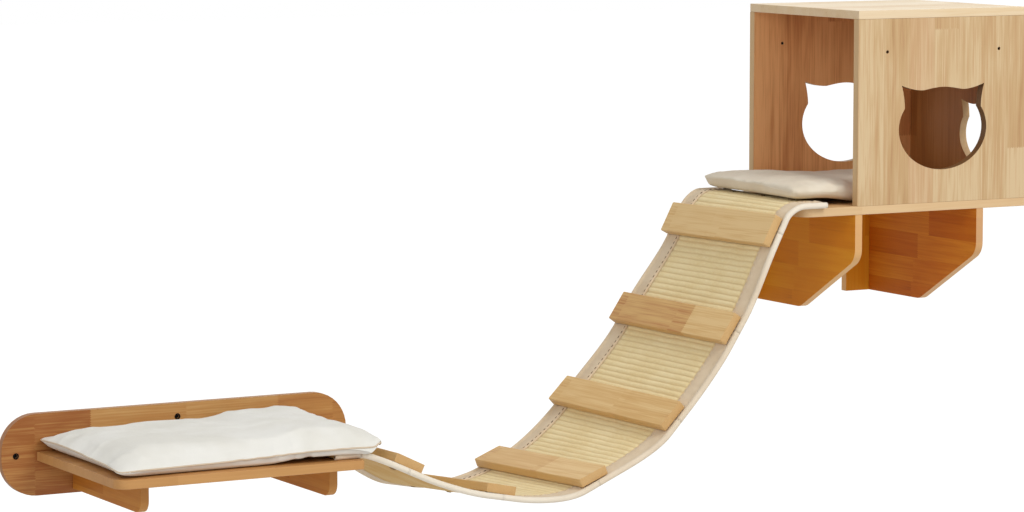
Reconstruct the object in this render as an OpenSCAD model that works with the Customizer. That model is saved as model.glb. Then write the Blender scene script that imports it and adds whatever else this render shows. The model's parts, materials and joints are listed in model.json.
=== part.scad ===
// Cat wall bridge: a slatted fabric bridge that hangs between an upper shelf, which carries a small
// wooden house, and a lower shelf on a wall board. Millimetres. The wall is the plane y = 0, the
// object stands out from it towards -Y, X runs along the wall and Z is up. The origin is on the wall,
// at the top of the upper shelf, below the open left end of the house.

/* [Boards] */
// Thickness of every shelf, panel, plate and bracket board
board_t = 16; // [12:1:22]
// Radius of the two front corners of each shelf
shelf_corner_r = 25; // [5:1:40]

/* [House] */
// Width of the house along the wall
house_w = 380; // [340:5:460]
// Depth of the house and of the upper shelf, from the wall to the front
house_d = 372; // [340:5:420]
// Height of the house above its shelf, top panel included
house_h = 360; // [320:5:420]
// Half width of the cat-head windows in the front and back panels
window_half_w = 99; // [70:1:110]
// Height of a window from its chin to its widest line
window_chin = 77; // [60:1:90]
// Height of the front window's widest line above the shelf
window_z = 138; // [120:1:160]
// How far the back window sits to the right of the front one
back_window_shift = 20; // [0:1:40]
// How far the back window sits below the front one
back_window_drop = 12; // [0:1:30]
// Side window's size as a share of the front window's
side_window_share = 0.8; // [0.5:0.02:0.84]
// Height of the side window's widest line above the shelf
side_window_z = 111; // [90:1:140]
// Wood left between the side window and the front panel
side_window_edge = 16; // [10:1:60]
// Diameter of the screw holes in the front and back panels
panel_hole_d = 6; // [4:0.5:8]
// Distance between the two screw holes of a panel
panel_hole_span = 252; // [200:2:300]
// Distance from the screw holes up to the top of the house
panel_hole_drop = 77; // [50:1:100]

/* [Upper shelf and its brackets] */
// How far the upper shelf stands out to the left of the house
shelf_out = 118; // [90:1:160]
// Height of the brackets below the shelf
gusset_h = 189; // [150:1:240]
// Height of a bracket's upright front edge
gusset_nose_h = 84; // [50:1:110]
// Length of a bracket's level bottom edge
gusset_foot = 172; // [120:1:220]
// Radius of a bracket's two lower corners
gusset_r = 34; // [10:1:50]
// Centre of the left bracket, from the house's open end
gusset_left_x = 4; // [0:1:40]
// Centre of the right bracket, back from the house's right end
gusset_right_inset = 103; // [62:1:160]
// Width of the plate behind each bracket
plate_w = 122; // [80:1:160]
// Diameter of the wall screw holes in the plates
plate_hole_d = 5; // [4:0.5:7]
// Distance between a plate's two wall screw holes
plate_hole_span = 110; // [60:2:140]

/* [Lower shelf and its wall board] */
// Distance along the wall between the two shelves
span = 900; // [800:10:1000]
// Height of the upper shelf's top above the lower shelf's top
drop = 393; // [330:5:450]
// Length of the lower shelf
lower_w = 462; // [400:2:560]
// Depth of the lower shelf, from the wall board to its front
lower_d = 361; // [320:1:400]
// Length of the wall board
backboard_w = 670; // [600:5:760]
// Height of the wall board
backboard_h = 145; // [110:1:180]
// Radius of the wall board's corners
backboard_r = 66; // [30:1:72]
// How far the wall board's left end stands out past the lower shelf
backboard_out = 66; // [30:1:100]
// How far the wall board rises above the lower shelf's top
backboard_rise = 67; // [50:1:100]
// Diameter of the wall screw holes in the wall board
backboard_hole_d = 6; // [4:0.5:8]
// Distance from the wall board's ends to its outer screw holes
backboard_hole_end = 27; // [20:1:50]
// Distance from the wall board's top to its middle screw hole
backboard_hole_top = 24; // [16:1:40]
// Outer diameter of the black cups around the wall board's screw holes
cup_d = 11; // [9:0.5:16]
// Height of the lower shelf's brackets
bracket_h = 55; // [40:1:80]
// Length of the lower shelf's brackets, from the wall board forwards
bracket_l = 299; // [200:1:330]
// Radius of a bracket's lower front corner
bracket_r = 22; // [5:1:30]
// Centre of the left bracket, from the lower shelf's left end
bracket_left_x = 75; // [40:1:120]
// Centre of the right bracket, back from the lower shelf's right end
bracket_right_x = 31; // [20:1:120]

/* [Bridge fabric] */
// Width of the bridge
bridge_w = 376; // [330:2:390]
// Gap between the bridge's upper end and the wall
bridge_wall_gap = 8; // [4:1:20]
// Gap between the bridge's lower end and the wall board
bridge_board_gap = 4; // [2:1:12]
// Thickness of the fabric between its ribs
web_t = 5; // [4:0.5:7]
// Distance from one woven rib to the next
rib_pitch = 11.6; // [8:0.2:16]
// Height of a rib
rib_h = 2.4; // [1.5:0.1:3]
// Width of the smooth bound border along each side
border_w = 43; // [30:1:60]
// Diameter of the rolled cord in the border's outer edge
roll_d = 11; // [9:0.5:13]
// Length of fabric that lies on each shelf
end_lap = 48; // [36:1:60]
// Bend of the front edge over the upper shelf's end, as a radius
front_lip_r = 49; // [35:1:60]
// Slope of the front edge below the upper shelf, in degrees
front_leave = 67; // [60:1:70]
// Pull of the front edge's steep stretch, as a share of the way between the shelves
front_fall = 0.785; // [0.74:0.005:0.83]
// Pull of the front edge's rise to the lower shelf, as a share of the way between the shelves
front_rise = 0.15; // [0.1:0.01:0.2]
// Slope of the front edge where it comes up to the lower shelf, in degrees
front_arrive = 15; // [10:1:20]
// Bend of the wall edge over the upper shelf's end, as a radius
wall_lip_r = 31; // [28:1:60]
// Slope of the wall edge below the upper shelf, in degrees
wall_leave = 58; // [54:1:64]
// Pull of the wall edge's steep stretch, as a share of the way between the shelves
wall_fall = 0.935; // [0.88:0.005:0.97]
// Pull of the wall edge's rise to the lower shelf, as a share of the way between the shelves
wall_rise = 0.205; // [0.15:0.005:0.25]
// Slope of the wall edge where it comes up to the lower shelf, in degrees
wall_arrive = 18; // [12:1:24]
// How much farther down the bridge a slat's wall end lies
slat_skew = 6; // [0:1:16]

/* [Slats] */
// Number of slats
slat_count = 6; // [6:1:6]
// Length of a slat across the bridge
slat_l = 362; // [300:2:364]
// How much nearer the wall than the bridge's middle a slat sits
slat_offset = 4; // [0:1:5]
// Width of a slat along the bridge
slat_w = 60; // [50:1:70]
// Thickness of a slat
slat_t = 16; // [10:1:20]
// Radius of a slat's long edges
slat_edge_r = 2; // [1:0.5:5]
// Radius of a slat's corners, seen from above
slat_corner_r = 3; // [2:0.5:10]
// Distance along the bridge from the upper shelf to the first slat's middle
slat_first = 78; // [70:1:90]
// Distance along the bridge from the last slat's middle to the lower shelf
slat_last = 82; // [76:1:96]
// Number of screws that hold a slat to the fabric
slat_screws = 3; // [2:1:4]
// Distance from a slat's ends to its outer screws
slat_screw_end = 50; // [20:1:80]

/* [Cushions] */
// Thickness of a cushion at its crown
cushion_t = 41; // [28:1:44]
// Gap between the upper cushion and the panels in front of it, behind it and at its right
upper_cushion_gap = 8; // [5:1:20]
// How far the upper cushion reaches past the shelf's left end
upper_cushion_over = 8; // [0:1:12]
// Gap between the lower cushion and the wall board
lower_cushion_gap = 4; // [2:1:12]
// How far the lower cushion stays behind the lower shelf's front and left end
lower_cushion_inset = 8; // [4:1:20]
// How far the lower cushion reaches past the lower shelf's right end
lower_cushion_over = 34; // [0:1:36]
// How far a cushion's sides draw in between its corners
cushion_draw_in = 4; // [2:1:8]

/* [Hidden] */

// Colours
light_wood = "burlywood";
shade_wood = "peru";
cloth = "wheat";
canvas = "whitesmoke";

// Clearances
seat_gap = 0.3;      // between soft things and what they lie on
section_gap = 0.8;   // between two fabric sections, at the line where the bridge bends
open_gap = 1.2;      // between the last fabric section and the end that is fixed to the lower shelf
cup_clear = 0.3;     // between a cup's bore and the hole behind it
fold_gap = 1.6;      // between a cushion and the bridge fabric below it

// Sizes that follow from the driving ones
arc_steps = 10;                                  // steps in a rounded corner
window_steps = 9;                                // steps in each curve of a window
room_h = house_h - board_t;                      // inside height of the house
side_x = house_w - board_t;                      // inner face of the house's side panel
hole_z = house_h - panel_hole_drop;
lower_right = -shelf_out - span;                 // right end of the lower shelf
lower_left = lower_right - lower_w;
lower_front = -board_t - lower_d;
backboard_left = lower_left - backboard_out;
backboard_top = backboard_rise - drop;
backboard_low = backboard_top - backboard_h;
backboard_corner = min(backboard_r, backboard_h / 2 - 1); // radius that the board's height leaves room for
screw_d = 4;
screw_head_d = 8;
screw_head_t = 2.5;
screw_l = 36;
dowel_d = 8;
dowel_l = 30;
dowel_end = 40;                                  // distance from a panel's ends to its outer dowels
washer_d = 13;
washer_t = 1.2;
bite = 0.6;                                      // share of a board that a screw or dowel reaches into

// Bridge
lip_gap = 2;                                     // the bend starts this far past the shelf's end
web_z = roll_d / 2 + seat_gap;                   // middle of the fabric above the board it lies on
bridge_y = -bridge_wall_gap - bridge_w / 2;      // middle of the bridge's upper end
foot_y = -board_t - bridge_board_gap - bridge_w / 2; // middle of its lower end
lip_x = -shelf_out - lip_gap;
foot_x = lower_right;
line_steps = 60;
lip_steps = 12;
roll_sides = 8;                                  // flats round the rolled cord
fabric_pull = 0.86;                              // how tightly the fabric turns between two slats
web_half = bridge_w / 2 - border_w;
slat_seat = roll_d / 2 + seat_gap;               // underside of a slat above the fabric's middle

function unit(v) = v / norm(v);
function mix(a, b, t) = a + (b - a) * t;
function smooth(t) = let (c = min(1, max(0, t))) c * c * (3 - 2 * c);
function bezier2(a, b, c, t) = mix(mix(a, b, t), mix(b, c, t), t);
function bezier3(a, b, c, d, t) = mix(bezier2(a, b, c, t), bezier2(b, c, d, t), t);

// Outline through corner points [x, y, radius], with each corner rounded by an arc
function rounded(corners) = [
    for (i = [0:len(corners) - 1])
        let (p = corners[i], r = p[2], here = [p[0], p[1]],
             before = corners[(i + len(corners) - 1) % len(corners)],
             after = corners[(i + 1) % len(corners)],
             u = unit([before[0], before[1]] - here), v = unit([after[0], after[1]] - here),
             turn = acos(u * v), centre = here + unit(u + v) * r / sin(turn / 2),
             start = here + u * r / tan(turn / 2) - centre,
             side = (u[0] * v[1] - u[1] * v[0]) > 0 ? -1 : 1)
            each r == 0 ? [here] : [
                for (k = [0:arc_steps])
                    let (a = side * (180 - turn) * k / arc_steps)
                        centre + [start[0] * cos(a) - start[1] * sin(a),
                                  start[0] * sin(a) + start[1] * cos(a)]]];

// Rounded bar section with true arcs, centred on the origin
module soft_rect(w, h, r) {
    square([w - 2 * r, h], center = true);
    square([w, h - 2 * r], center = true);
    for (x = [-1, 1], y = [-1, 1])
        translate([x * (w / 2 - r), y * (h / 2 - r)]) circle(r = r, $fn = 32);
}

// Extrudes an outline drawn as [x, z] from the front face y_front back towards the wall
module upright(y_back, thickness) {
    translate([0, y_back, 0]) rotate([90, 0, 0]) linear_extrude(thickness) children();
}

// Extrudes an outline drawn as [y, z] to the right of x_left
module sideways(x_left, thickness) {
    translate([x_left, 0, 0]) rotate([90, 0, 90]) linear_extrude(thickness) children();
}

// Cat-head outline: a round jaw, two pointed ears and a low crown, about its widest line
jaw_turn = 30;                                            // where the jaw's curve meets the ear
function jaw(t) = [window_half_w * cos(t), window_chin * sin(t)];
ear_tip = [0.94 * window_half_w, 1.06 * window_chin];
ear_valley = [0.44 * window_half_w, 0.93 * window_chin];
crown = [0, 1.0 * window_chin];
function half_head() = concat(
    [for (i = [0:4 * window_steps]) jaw(-90 + (90 + jaw_turn) * i / (4 * window_steps))],
    [for (i = [1:window_steps])
        bezier2(jaw(jaw_turn), mix(jaw(jaw_turn), ear_tip, 0.5) - [3, 0], ear_tip, i / window_steps)],
    [for (i = [1:window_steps])
        bezier2(ear_tip, mix(ear_tip, ear_valley, 0.55) - [0, 5], ear_valley, i / window_steps)],
    [for (i = [1:window_steps])
        bezier3(ear_valley, ear_valley - [12, -2], crown + [16, 0], crown, i / window_steps)]);

module cat_head() {
    half = half_head();
    polygon(concat(half, [for (i = [len(half) - 2:-1:1]) [-half[i][0], half[i][1]]]));
}

// Through hole, square to the wall, in a board whose back face is at y_back
module board_hole(x, y_back, z, d) {
    translate([x, y_back + 1, z]) rotate([90, 0, 0]) cylinder(d = d, h = board_t + 2, $fn = 32);
}

// Boards of the lower unit
module backboard() {
    right = backboard_left + backboard_w;
    color(shade_wood)
        difference() {
            upright(0, board_t)
                polygon(rounded([[backboard_left, backboard_low, backboard_corner],
                                 [right, backboard_low, backboard_corner],
                                 [right, backboard_top, backboard_corner],
                                 [backboard_left, backboard_top, backboard_corner]]));
            for (p = backboard_holes())
                board_hole(p[0], 0, p[1], backboard_hole_d);
        }
}

function backboard_holes() = [
    [backboard_left + backboard_hole_end, backboard_top - backboard_h / 2],
    [backboard_left + backboard_w - backboard_hole_end, backboard_top - backboard_h / 2],
    [backboard_left + backboard_w / 2, backboard_top - backboard_hole_top]];

// Black finishing cups that the wall screws seat in
module backboard_cups() {
    color("black")
        for (p = backboard_holes())
            translate([p[0], -board_t, p[1]]) rotate([90, 0, 0])
                rotate_extrude($fn = 40)
                    polygon([[backboard_hole_d / 2 + cup_clear, 0], [cup_d / 2, 0], [cup_d / 2, 0.8],
                             [cup_d / 2 - 1.4, 2.2], [backboard_hole_d / 2 + cup_clear, 2.2]]);
}

module lower_shelf() {
    color(light_wood)
        translate([0, 0, -drop - board_t])
            linear_extrude(board_t)
                polygon(rounded([[lower_left, lower_front, shelf_corner_r],
                                 [lower_right, lower_front, shelf_corner_r / 4],
                                 [lower_right, -board_t, 0], [lower_left, -board_t, 0]]));
}

module lower_bracket(x) {
    top = -drop - board_t;
    color(shade_wood)
        sideways(x - board_t / 2, board_t)
            polygon(rounded([[-board_t, top, 0], [-board_t, top - bracket_h, 0],
                             [-board_t - bracket_l, top - bracket_h, bracket_r],
                             [-board_t - bracket_l, top, 0]]));
}

module lower_bracket_left() lower_bracket(lower_left + bracket_left_x);
module lower_bracket_right() lower_bracket(lower_right - bracket_right_x);

// Wood screw with its head's top at the origin, pointing down
module wood_screw(length = screw_l) {
    translate([0, 0, -length]) cylinder(d = screw_d, h = length, $fn = 16);
    translate([0, 0, -screw_head_t]) cylinder(d1 = screw_d, d2 = screw_head_d, h = screw_head_t, $fn = 24);
}

module lower_shelf_screws() {
    color("silver")
        for (x = [lower_left + bracket_left_x, lower_right - bracket_right_x], y = [0.25, 0.75])
            translate([x, -board_t - bracket_l * y, -drop]) wood_screw();
}

// Wood screw put in from the wall side, its head flush at y = 0
module back_screw(x, z) {
    translate([x, 0, z]) rotate([-90, 0, 0]) wood_screw();
}

// Screws through the wall board into the back edges of the lower shelf and its brackets
module backboard_screws() {
    under = -drop - board_t;
    color("silver") {
        for (t = [0.3, 0.5, 0.7]) back_screw(mix(lower_left, lower_right, t), under + board_t / 2);
        for (x = [lower_left + bracket_left_x, lower_right - bracket_right_x])
            back_screw(x, (under + max(under - bracket_h, backboard_low)) / 2);
    }
}

// Boards of the upper unit
module upper_shelf() {
    color(light_wood)
        translate([0, 0, -board_t])
            linear_extrude(board_t)
                polygon(rounded([[-shelf_out, -house_d, shelf_corner_r], [house_w, -house_d, 0],
                                 [house_w, 0, 0], [-shelf_out, 0, 0]]));
}

// Bracket below the upper shelf: upright nose, sloping underside, level foot, rounded where they meet
module gusset(x) {
    top = -board_t;
    color(shade_wood)
        sideways(x - board_t / 2, board_t)
            polygon(rounded([[-board_t, top, 0], [-board_t, top - gusset_h, 0],
                             [-board_t - gusset_foot, top - gusset_h, gusset_r],
                             [-house_d, top - gusset_nose_h, gusset_r], [-house_d, top, 0]]));
}

module gusset_left() gusset(gusset_left_x);
module gusset_right() gusset(house_w - gusset_right_inset);

// Plate behind a bracket; its wall screws are on the side away from the bridge
module wall_plate(x) {
    hole_x = x + (board_t + plate_w) / 4;
    color(shade_wood)
        difference() {
            translate([x - plate_w / 2, -board_t, -board_t - gusset_h]) cube([plate_w, board_t, gusset_h]);
            for (side = [-1, 1])
                board_hole(hole_x, 0, -board_t - gusset_h / 2 + side * plate_hole_span / 2, plate_hole_d);
        }
}

module wall_plate_left() wall_plate(gusset_left_x);
module wall_plate_right() wall_plate(house_w - gusset_right_inset);

// Screws through the plates into the brackets' back edges
module plate_screws() {
    color("silver")
        for (x = [gusset_left_x, house_w - gusset_right_inset], t = [0.25, 0.75])
            back_screw(x, -board_t - gusset_h * t);
}

module gusset_screws() {
    color("silver")
        for (x = [gusset_left_x, house_w - gusset_right_inset], y = [0.3, 0.75])
            translate([x, -board_t - (house_d - board_t) * y, 0]) wood_screw();
}

// Front or back panel of the house, with its window and two screw holes
module house_panel(y_back, shift = 0, lower = 0) {
    color(light_wood)
        difference() {
            upright(y_back, board_t)
                difference() {
                    square([house_w, room_h]);
                    translate([house_w / 2 + shift, window_z - lower]) cat_head();
                }
            for (side = [-1, 1])
                board_hole(house_w / 2 + side * panel_hole_span / 2, y_back, hole_z, panel_hole_d);
        }
}

module house_front() house_panel(-house_d + board_t);
module house_back() house_panel(0, back_window_shift, back_window_drop);

module house_side() {
    middle = -house_d + board_t + side_window_edge + side_window_share * window_half_w;
    color(light_wood)
        sideways(side_x, board_t)
            difference() {
                translate([-house_d + board_t, 0]) square([house_d - 2 * board_t, room_h]);
                translate([middle, side_window_z]) scale(side_window_share) cat_head();
            }
}

module house_top() {
    color(light_wood) translate([0, -house_d, room_h]) cube([house_w, house_d, board_t]);
}

// Dowels in the joints between the panels, the top and the shelf
module house_dowels() {
    rows = [for (x = [dowel_end, house_w / 2, house_w - dowel_end], y = [-board_t / 2, board_t / 2 - house_d])
        [x, y]];
    side = [for (y = [0.3, 0.7]) [house_w - board_t / 2, -house_d * y]];
    color("tan")
        for (p = concat(rows, side), z = [0, room_h])
            translate([p[0], p[1], z - (z > 0 ? dowel_l - board_t * bite : board_t * bite)])
                cylinder(d = dowel_d, h = dowel_l, $fn = 24);
}

// The line that one edge of the bridge hangs in, as [x, z] points: round over the shelf's end, then
// one smooth sag down and up again to the lower shelf
function hang_line(lip_r, leave, fall, rise, arrive) =
    let (lip = [lip_x, web_z], foot = [foot_x, web_z - drop], way = norm(foot - lip),
         a = lip + lip_r * [-sin(leave), cos(leave) - 1],
         b = a - way * fall * [cos(leave), sin(leave)], c = foot + way * rise * [cos(arrive), -sin(arrive)])
    concat([for (i = [0:lip_steps - 1])
                lip + lip_r * [-sin(leave * i / lip_steps), cos(leave * i / lip_steps) - 1]],
           [for (i = [0:line_steps]) bezier3(a, b, c, foot, i / line_steps)]);

function run_lengths(p) = [
    for (i = 0, l = 0; i < len(p); l = l + (i + 1 < len(p) ? norm(p[i + 1] - p[i]) : 0), i = i + 1) l];

front_line = hang_line(front_lip_r, front_leave, front_fall, front_rise, front_arrive);
wall_line = hang_line(wall_lip_r, wall_leave, wall_fall, wall_rise, wall_arrive);
front_run = run_lengths(front_line);
wall_run = run_lengths(wall_line);
front_x = [for (i = [0:len(front_line) - 1]) [front_run[i], front_line[i][0]]];
front_z = [for (i = [0:len(front_line) - 1]) [front_run[i], front_line[i][1]]];
wall_x = [for (i = [0:len(wall_line) - 1]) [wall_run[i], wall_line[i][0]]];
wall_z = [for (i = [0:len(wall_line) - 1]) [wall_run[i], wall_line[i][1]]];
total = front_run[len(front_run) - 1];           // length of the hanging part
wall_total = wall_run[len(wall_run) - 1];
slat_pitch = (total - slat_first - slat_last) / (slat_count - 1);

function wall_place(s) = s * wall_total / total + slat_skew * sin(180 * min(1, max(0, s / total)));
function middle_y(s) = mix(bridge_y, foot_y, s / total);
function front_point(s) = [lookup(s, front_x), middle_y(s) - bridge_w / 2, lookup(s, front_z)];
function wall_point(s) =
    let (w = wall_place(s)) [lookup(w, wall_x), middle_y(s) + bridge_w / 2, lookup(w, wall_z)];

// Frame of a station on the bridge: [middle, across towards the front, along downhill, up]
function level_frame(x, y, z) = [[x, y, z], [0, -1, 0], [-1, 0, 0], [0, 0, 1]];
function slat_frame(s) =
    let (f = front_point(s), w = wall_point(s), across = unit(f - w),
         raw = front_point(s + 6) - front_point(s - 6) + wall_point(s + 6) - wall_point(s - 6),
         along = unit(raw - (raw * across) * across))
    [(f + w) / 2, across, along, cross(along, across)];

// Stations: the upper shelf's end, each slat, the lower shelf's end. Fabric is flat at each of them.
function slat_place(k) = slat_first + (k - 1) * slat_pitch;
stations = concat([level_frame(lip_x, bridge_y, web_z)],
                  [for (k = [1:slat_count]) slat_frame(slat_place(k))],
                  [level_frame(foot_x, foot_y, web_z - drop)]);
last = slat_count + 1;
function place(i) = i == 0 ? 0 : i == last ? total : slat_place(i);
function flat_half(i) = i == 0 || i == last ? 0 : slat_w / 2;
function station_before(s, i = last) = i == 0 || place(i) - flat_half(i) <= s ? i : station_before(s, i - 1);

// Frame of the fabric's middle surface at distance s down the bridge
function fabric_frame(s) =
    let (i = station_before(s), a = stations[i], past = s - place(i))
    i == last || past <= flat_half(i) ? [a[0] + a[2] * past, a[1], a[2], a[3]] :
    let (b = stations[i + 1], from = place(i) + flat_half(i), to = place(i + 1) - flat_half(i + 1),
         t = (s - from) / (to - from), p = a[0] + a[2] * flat_half(i), q = b[0] - b[2] * flat_half(i + 1),
         leave = norm(q - p) * fabric_pull * a[2], arrive = norm(q - p) * fabric_pull * b[2],
         mid = (2 * t * t * t - 3 * t * t + 1) * p + (t * t * t - 2 * t * t + t) * leave
             + (3 * t * t - 2 * t * t * t) * q + (t * t * t - t * t) * arrive,
         slope = (6 * t * t - 6 * t) * (p - q) + (3 * t * t - 4 * t + 1) * leave
             + (3 * t * t - 2 * t) * arrive,
         across = unit(mix(a[1], b[1], smooth(t))), along = unit(slope - (slope * across) * across))
    [mid, across, along, cross(along, across)];

function at(f, across, up) = f[0] + f[1] * across + f[3] * up;

// Closed solid through rings of points, with an equal number in each. Seen from the first ring's
// outer side the points run anticlockwise. Each end is closed by triangles from side to side.
module ring_solid(rings) {
    k = len(rings[0]);
    far = (len(rings) - 1) * k;
    sides = [for (i = [0:len(rings) - 2], j = [0:k - 1])
        let (a = i * k + j, b = i * k + (j + 1) % k) each [[a, b, a + k], [b, b + k, a + k]]];
    across = [for (i = [0:floor((k - 1) / 2) - 1])
        let (o = k - 1 - i) each i + 2 < o ? [[i, i + 1, o], [i + 1, o - 1, o]] : [[i, i + 1, o]]];
    ends = [for (t = across) each [[t[0], t[2], t[1]], [far + t[0], far + t[1], far + t[2]]]];
    polyhedron(points = [for (r = rings) each r], faces = concat(sides, ends));
}

// Ribbed fabric from place a to place b, ribs across the bridge, as a row of four-sided rings
module ribbed_web(a, b) {
    first = ceil(a / rib_pitch * 3);
    inner = [for (i = [first:floor(b / rib_pitch * 3)]) i / 3 * rib_pitch];
    marks = concat([a], [for (s = inner) if (s > a + 1 && s < b - 1) s], [b]);
    ring_solid([for (s = marks)
        let (f = fabric_frame(s), phase = s / rib_pitch - floor(s / rib_pitch + 0.001),
             up = web_t / 2 + (s == a || s == b || phase < 0.1 ? 0 : rib_h), w = web_half - seat_gap)
            [at(f, -w, -web_t / 2), at(f, -w, up), at(f, w, up), at(f, w, -web_t / 2)]]);
}

// Bound border along one side, with the cord rolled into its outer edge
function border_section(side) =
    let (r = roll_d / 2, centre = bridge_w / 2 - r, open = asin(web_t / 2 / r),
         roll = [for (i = [0:roll_sides])
             let (t = 180 - open - (360 - 2 * open) * i / roll_sides) [centre + r * cos(t), r * sin(t)]],
         outline = concat([[web_half, web_t / 2]], roll, [[web_half, -web_t / 2]]))
    side > 0 ? outline : [for (i = [len(outline) - 1:-1:0]) [-outline[i][0], outline[i][1]]];

function border_marks(a, b) =
    let (steps = ceil((b - a) / 17)) [for (i = [0:steps]) mix(a, b, i / steps)];

module border_pair(a, b) {
    for (side = [-1, 1])
        ring_solid([for (s = border_marks(a, b))
            let (f = fabric_frame(s)) [for (p = border_section(side)) at(f, p[0], p[1])]]);
}

// A section of the bridge belongs to its slat; sections meet halfway between the slats
function section_start(k) = section_gap / 2 + (k == 1 ? 0 : slat_place(k) - slat_pitch / 2);
function section_end(k) =
    k == slat_count ? total - open_gap : slat_place(k) + slat_pitch / 2 - section_gap / 2;

module web(k) color(cloth) ribbed_web(section_start(k), section_end(k));
module border(k) color("antiquewhite") border_pair(section_start(k), section_end(k));

// Puts its children in a station's frame: X down the bridge, Y across it, Z up from the fabric
module on_station(k) {
    f = stations[k];
    multmatrix([[f[2][0], f[1][0], f[3][0], f[0][0]], [f[2][1], f[1][1], f[3][1], f[0][1]],
                [f[2][2], f[1][2], f[3][2], f[0][2]], [0, 0, 0, 1]]) children();
}

module slat(k) {
    color(light_wood)
        on_station(k)
            translate([0, -slat_offset, slat_seat + slat_t / 2])
                intersection() {
                    rotate([90, 0, 0])
                        linear_extrude(slat_l, center = true) soft_rect(slat_w, slat_t, slat_edge_r);
                    linear_extrude(slat_t, center = true) soft_rect(slat_w, slat_l, slat_corner_r);
                }
}

// Screws from below, through the fabric into a slat, each on its washer
module slat_screw_row(k) {
    reach = slat_l / 2 - slat_screw_end;
    color("silver")
        on_station(k)
            for (i = [0:slat_screws - 1])
                translate([0, mix(-reach, reach, i / (slat_screws - 1)) - slat_offset,
                           -web_t / 2 - washer_t]) {
                    cylinder(d = washer_d, h = washer_t, $fn = 24);
                    cylinder(d = screw_d, h = washer_t + web_t / 2 + slat_seat + slat_t * bite, $fn = 16);
                    translate([0, 0, -screw_head_t / 2])
                        cylinder(d = screw_head_d, h = screw_head_t / 2, $fn = 24);
                }
}

// Fabric that lies on a shelf, with its borders
module flat_end(a, b) {
    color(cloth) ribbed_web(a, b);
    color("antiquewhite") border_pair(a, b);
}

module bridge_top_end() flat_end(-end_lap, -section_gap / 2);
module bridge_bottom_end() flat_end(total, total + end_lap);

// Screws and washers that hold a flat end to its shelf
module end_screws(i, s) {
    top = web_t / 2 + rib_h;
    color("silver")
        on_station(i)
            for (k = [-1, 0, 1])
                translate([s, k * web_half * 0.7, 0]) {
                    translate([0, 0, top]) cylinder(d = washer_d, h = washer_t, $fn = 24);
                    translate([0, 0, -web_z - board_t * bite])
                        cylinder(d = screw_d, h = web_z + board_t * bite + top, $fn = 16);
                }
}

module bridge_top_screws() end_screws(0, -end_lap / 2);
module bridge_bottom_screws() end_screws(last, end_lap / 2);

// Cushion on a level board: crowned top, sides drawn in between the corners, a sewn lip round the
// seam, flat below. Over the stretch where bridge fabric lies below it, its underside steps up.
cushion_corner_r = 16;
corner_points = 5;                               // points round a cushion's corner
long_points = 12;                                // points along each of its long sides
short_points = 6;                                // points along each of its short sides
cushion_rings = 9;
seam_share = 0.4;                                // height of the seam as a share of the thickness
seam_rise = 0.28;                                // how much higher it lies along the edge at the wall
lip_w = 3;                                       // how far the sewn lip stands out
step_run = 24;                                   // length over which the underside steps up
step_past = 46;                                  // how far the step lies beyond the fabric's end
step_squash = 0.3;                               // share of the step that the filling takes up

// A corner of the cushion's outline, from angle `from` on, and the straight run of points after it
function cushion_corner(x, y, from) = [
    for (i = [0:corner_points - 1])
        let (a = from + 90 * i / (corner_points - 1))
            [x, y] + cushion_corner_r * [cos(a) - sign(x), sin(a) - sign(y)]];
function between(a, b, count) = [for (i = [1:count]) mix(a, b, i / (count + 1))];
function cushion_outline(w, d) =
    let (x = w / 2 - lip_w, y = d / 2 - lip_w,
         corners = [cushion_corner(x, y, 0), cushion_corner(-x, y, 90), cushion_corner(-x, -y, 180),
                    cushion_corner(x, -y, 270)],
         loop = [for (i = [0:3])
             let (next = corners[(i + 1) % 4][0], count = i % 2 == 0 ? long_points : short_points)
                 each concat(corners[i], between(corners[i][corner_points - 1], next, count))])
    [for (p = loop)
        let (u = p[0] / x, v = p[1] / y)
            [p[0] - u * cushion_draw_in * (1 - v * v), p[1] - v * cushion_draw_in * (1 - u * u)]];

module cushion(x0, x1, y0, y1, z, step_x, step_side) {
    centre = [(x0 + x1) / 2, (y0 + y1) / 2];
    outline = cushion_outline(x1 - x0, y1 - y0);
    step_h = 2 * web_z + fold_gap;
    function below(x) = step_h * smooth(0.5 + step_side * (x - step_x) / step_run);
    function raised(q, up) =
        let (low = below(q[0]), room = cushion_t - low * step_squash,
             seam = seam_share + seam_rise * (q[1] - y0) / (y1 - y0))
            [q[0], q[1], z + low + room * (up >= 0 ? seam + (1 - seam) * up : seam * (1 + up))];
    function row(f, up) = [for (p = outline) raised(centre + p * f, up)];
    lip = [for (p = outline) raised(centre + p * (1 + lip_w / norm(p)), 0)];
    spread = [for (i = [0:cushion_rings - 1]) sin(90 * (i + 0.35) / cushion_rings)];
    tops = [for (f = spread) row(f, pow(1 - pow(f, 8), 0.6))];
    lows = [for (i = [cushion_rings - 1:-1:0])
        row(spread[i], -min(1, 1.35 * pow(1 - pow(spread[i], 9), 0.5)))];
    ring_solid(concat(tops, [row(1, 0.07)], [lip], [row(1, -0.09)], lows));
}

module upper_cushion() {
    color(canvas)
        cushion(-shelf_out - upper_cushion_over, side_x - upper_cushion_gap,
                board_t - house_d + upper_cushion_gap, -board_t - upper_cushion_gap,
                seat_gap, lip_x + end_lap + step_past, -1);
}

module lower_cushion() {
    color(canvas)
        cushion(lower_left + lower_cushion_inset, lower_right + lower_cushion_over,
                lower_front + lower_cushion_inset, -board_t - lower_cushion_gap,
                seat_gap - drop, lower_right - end_lap - step_past, 1);
}

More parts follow.
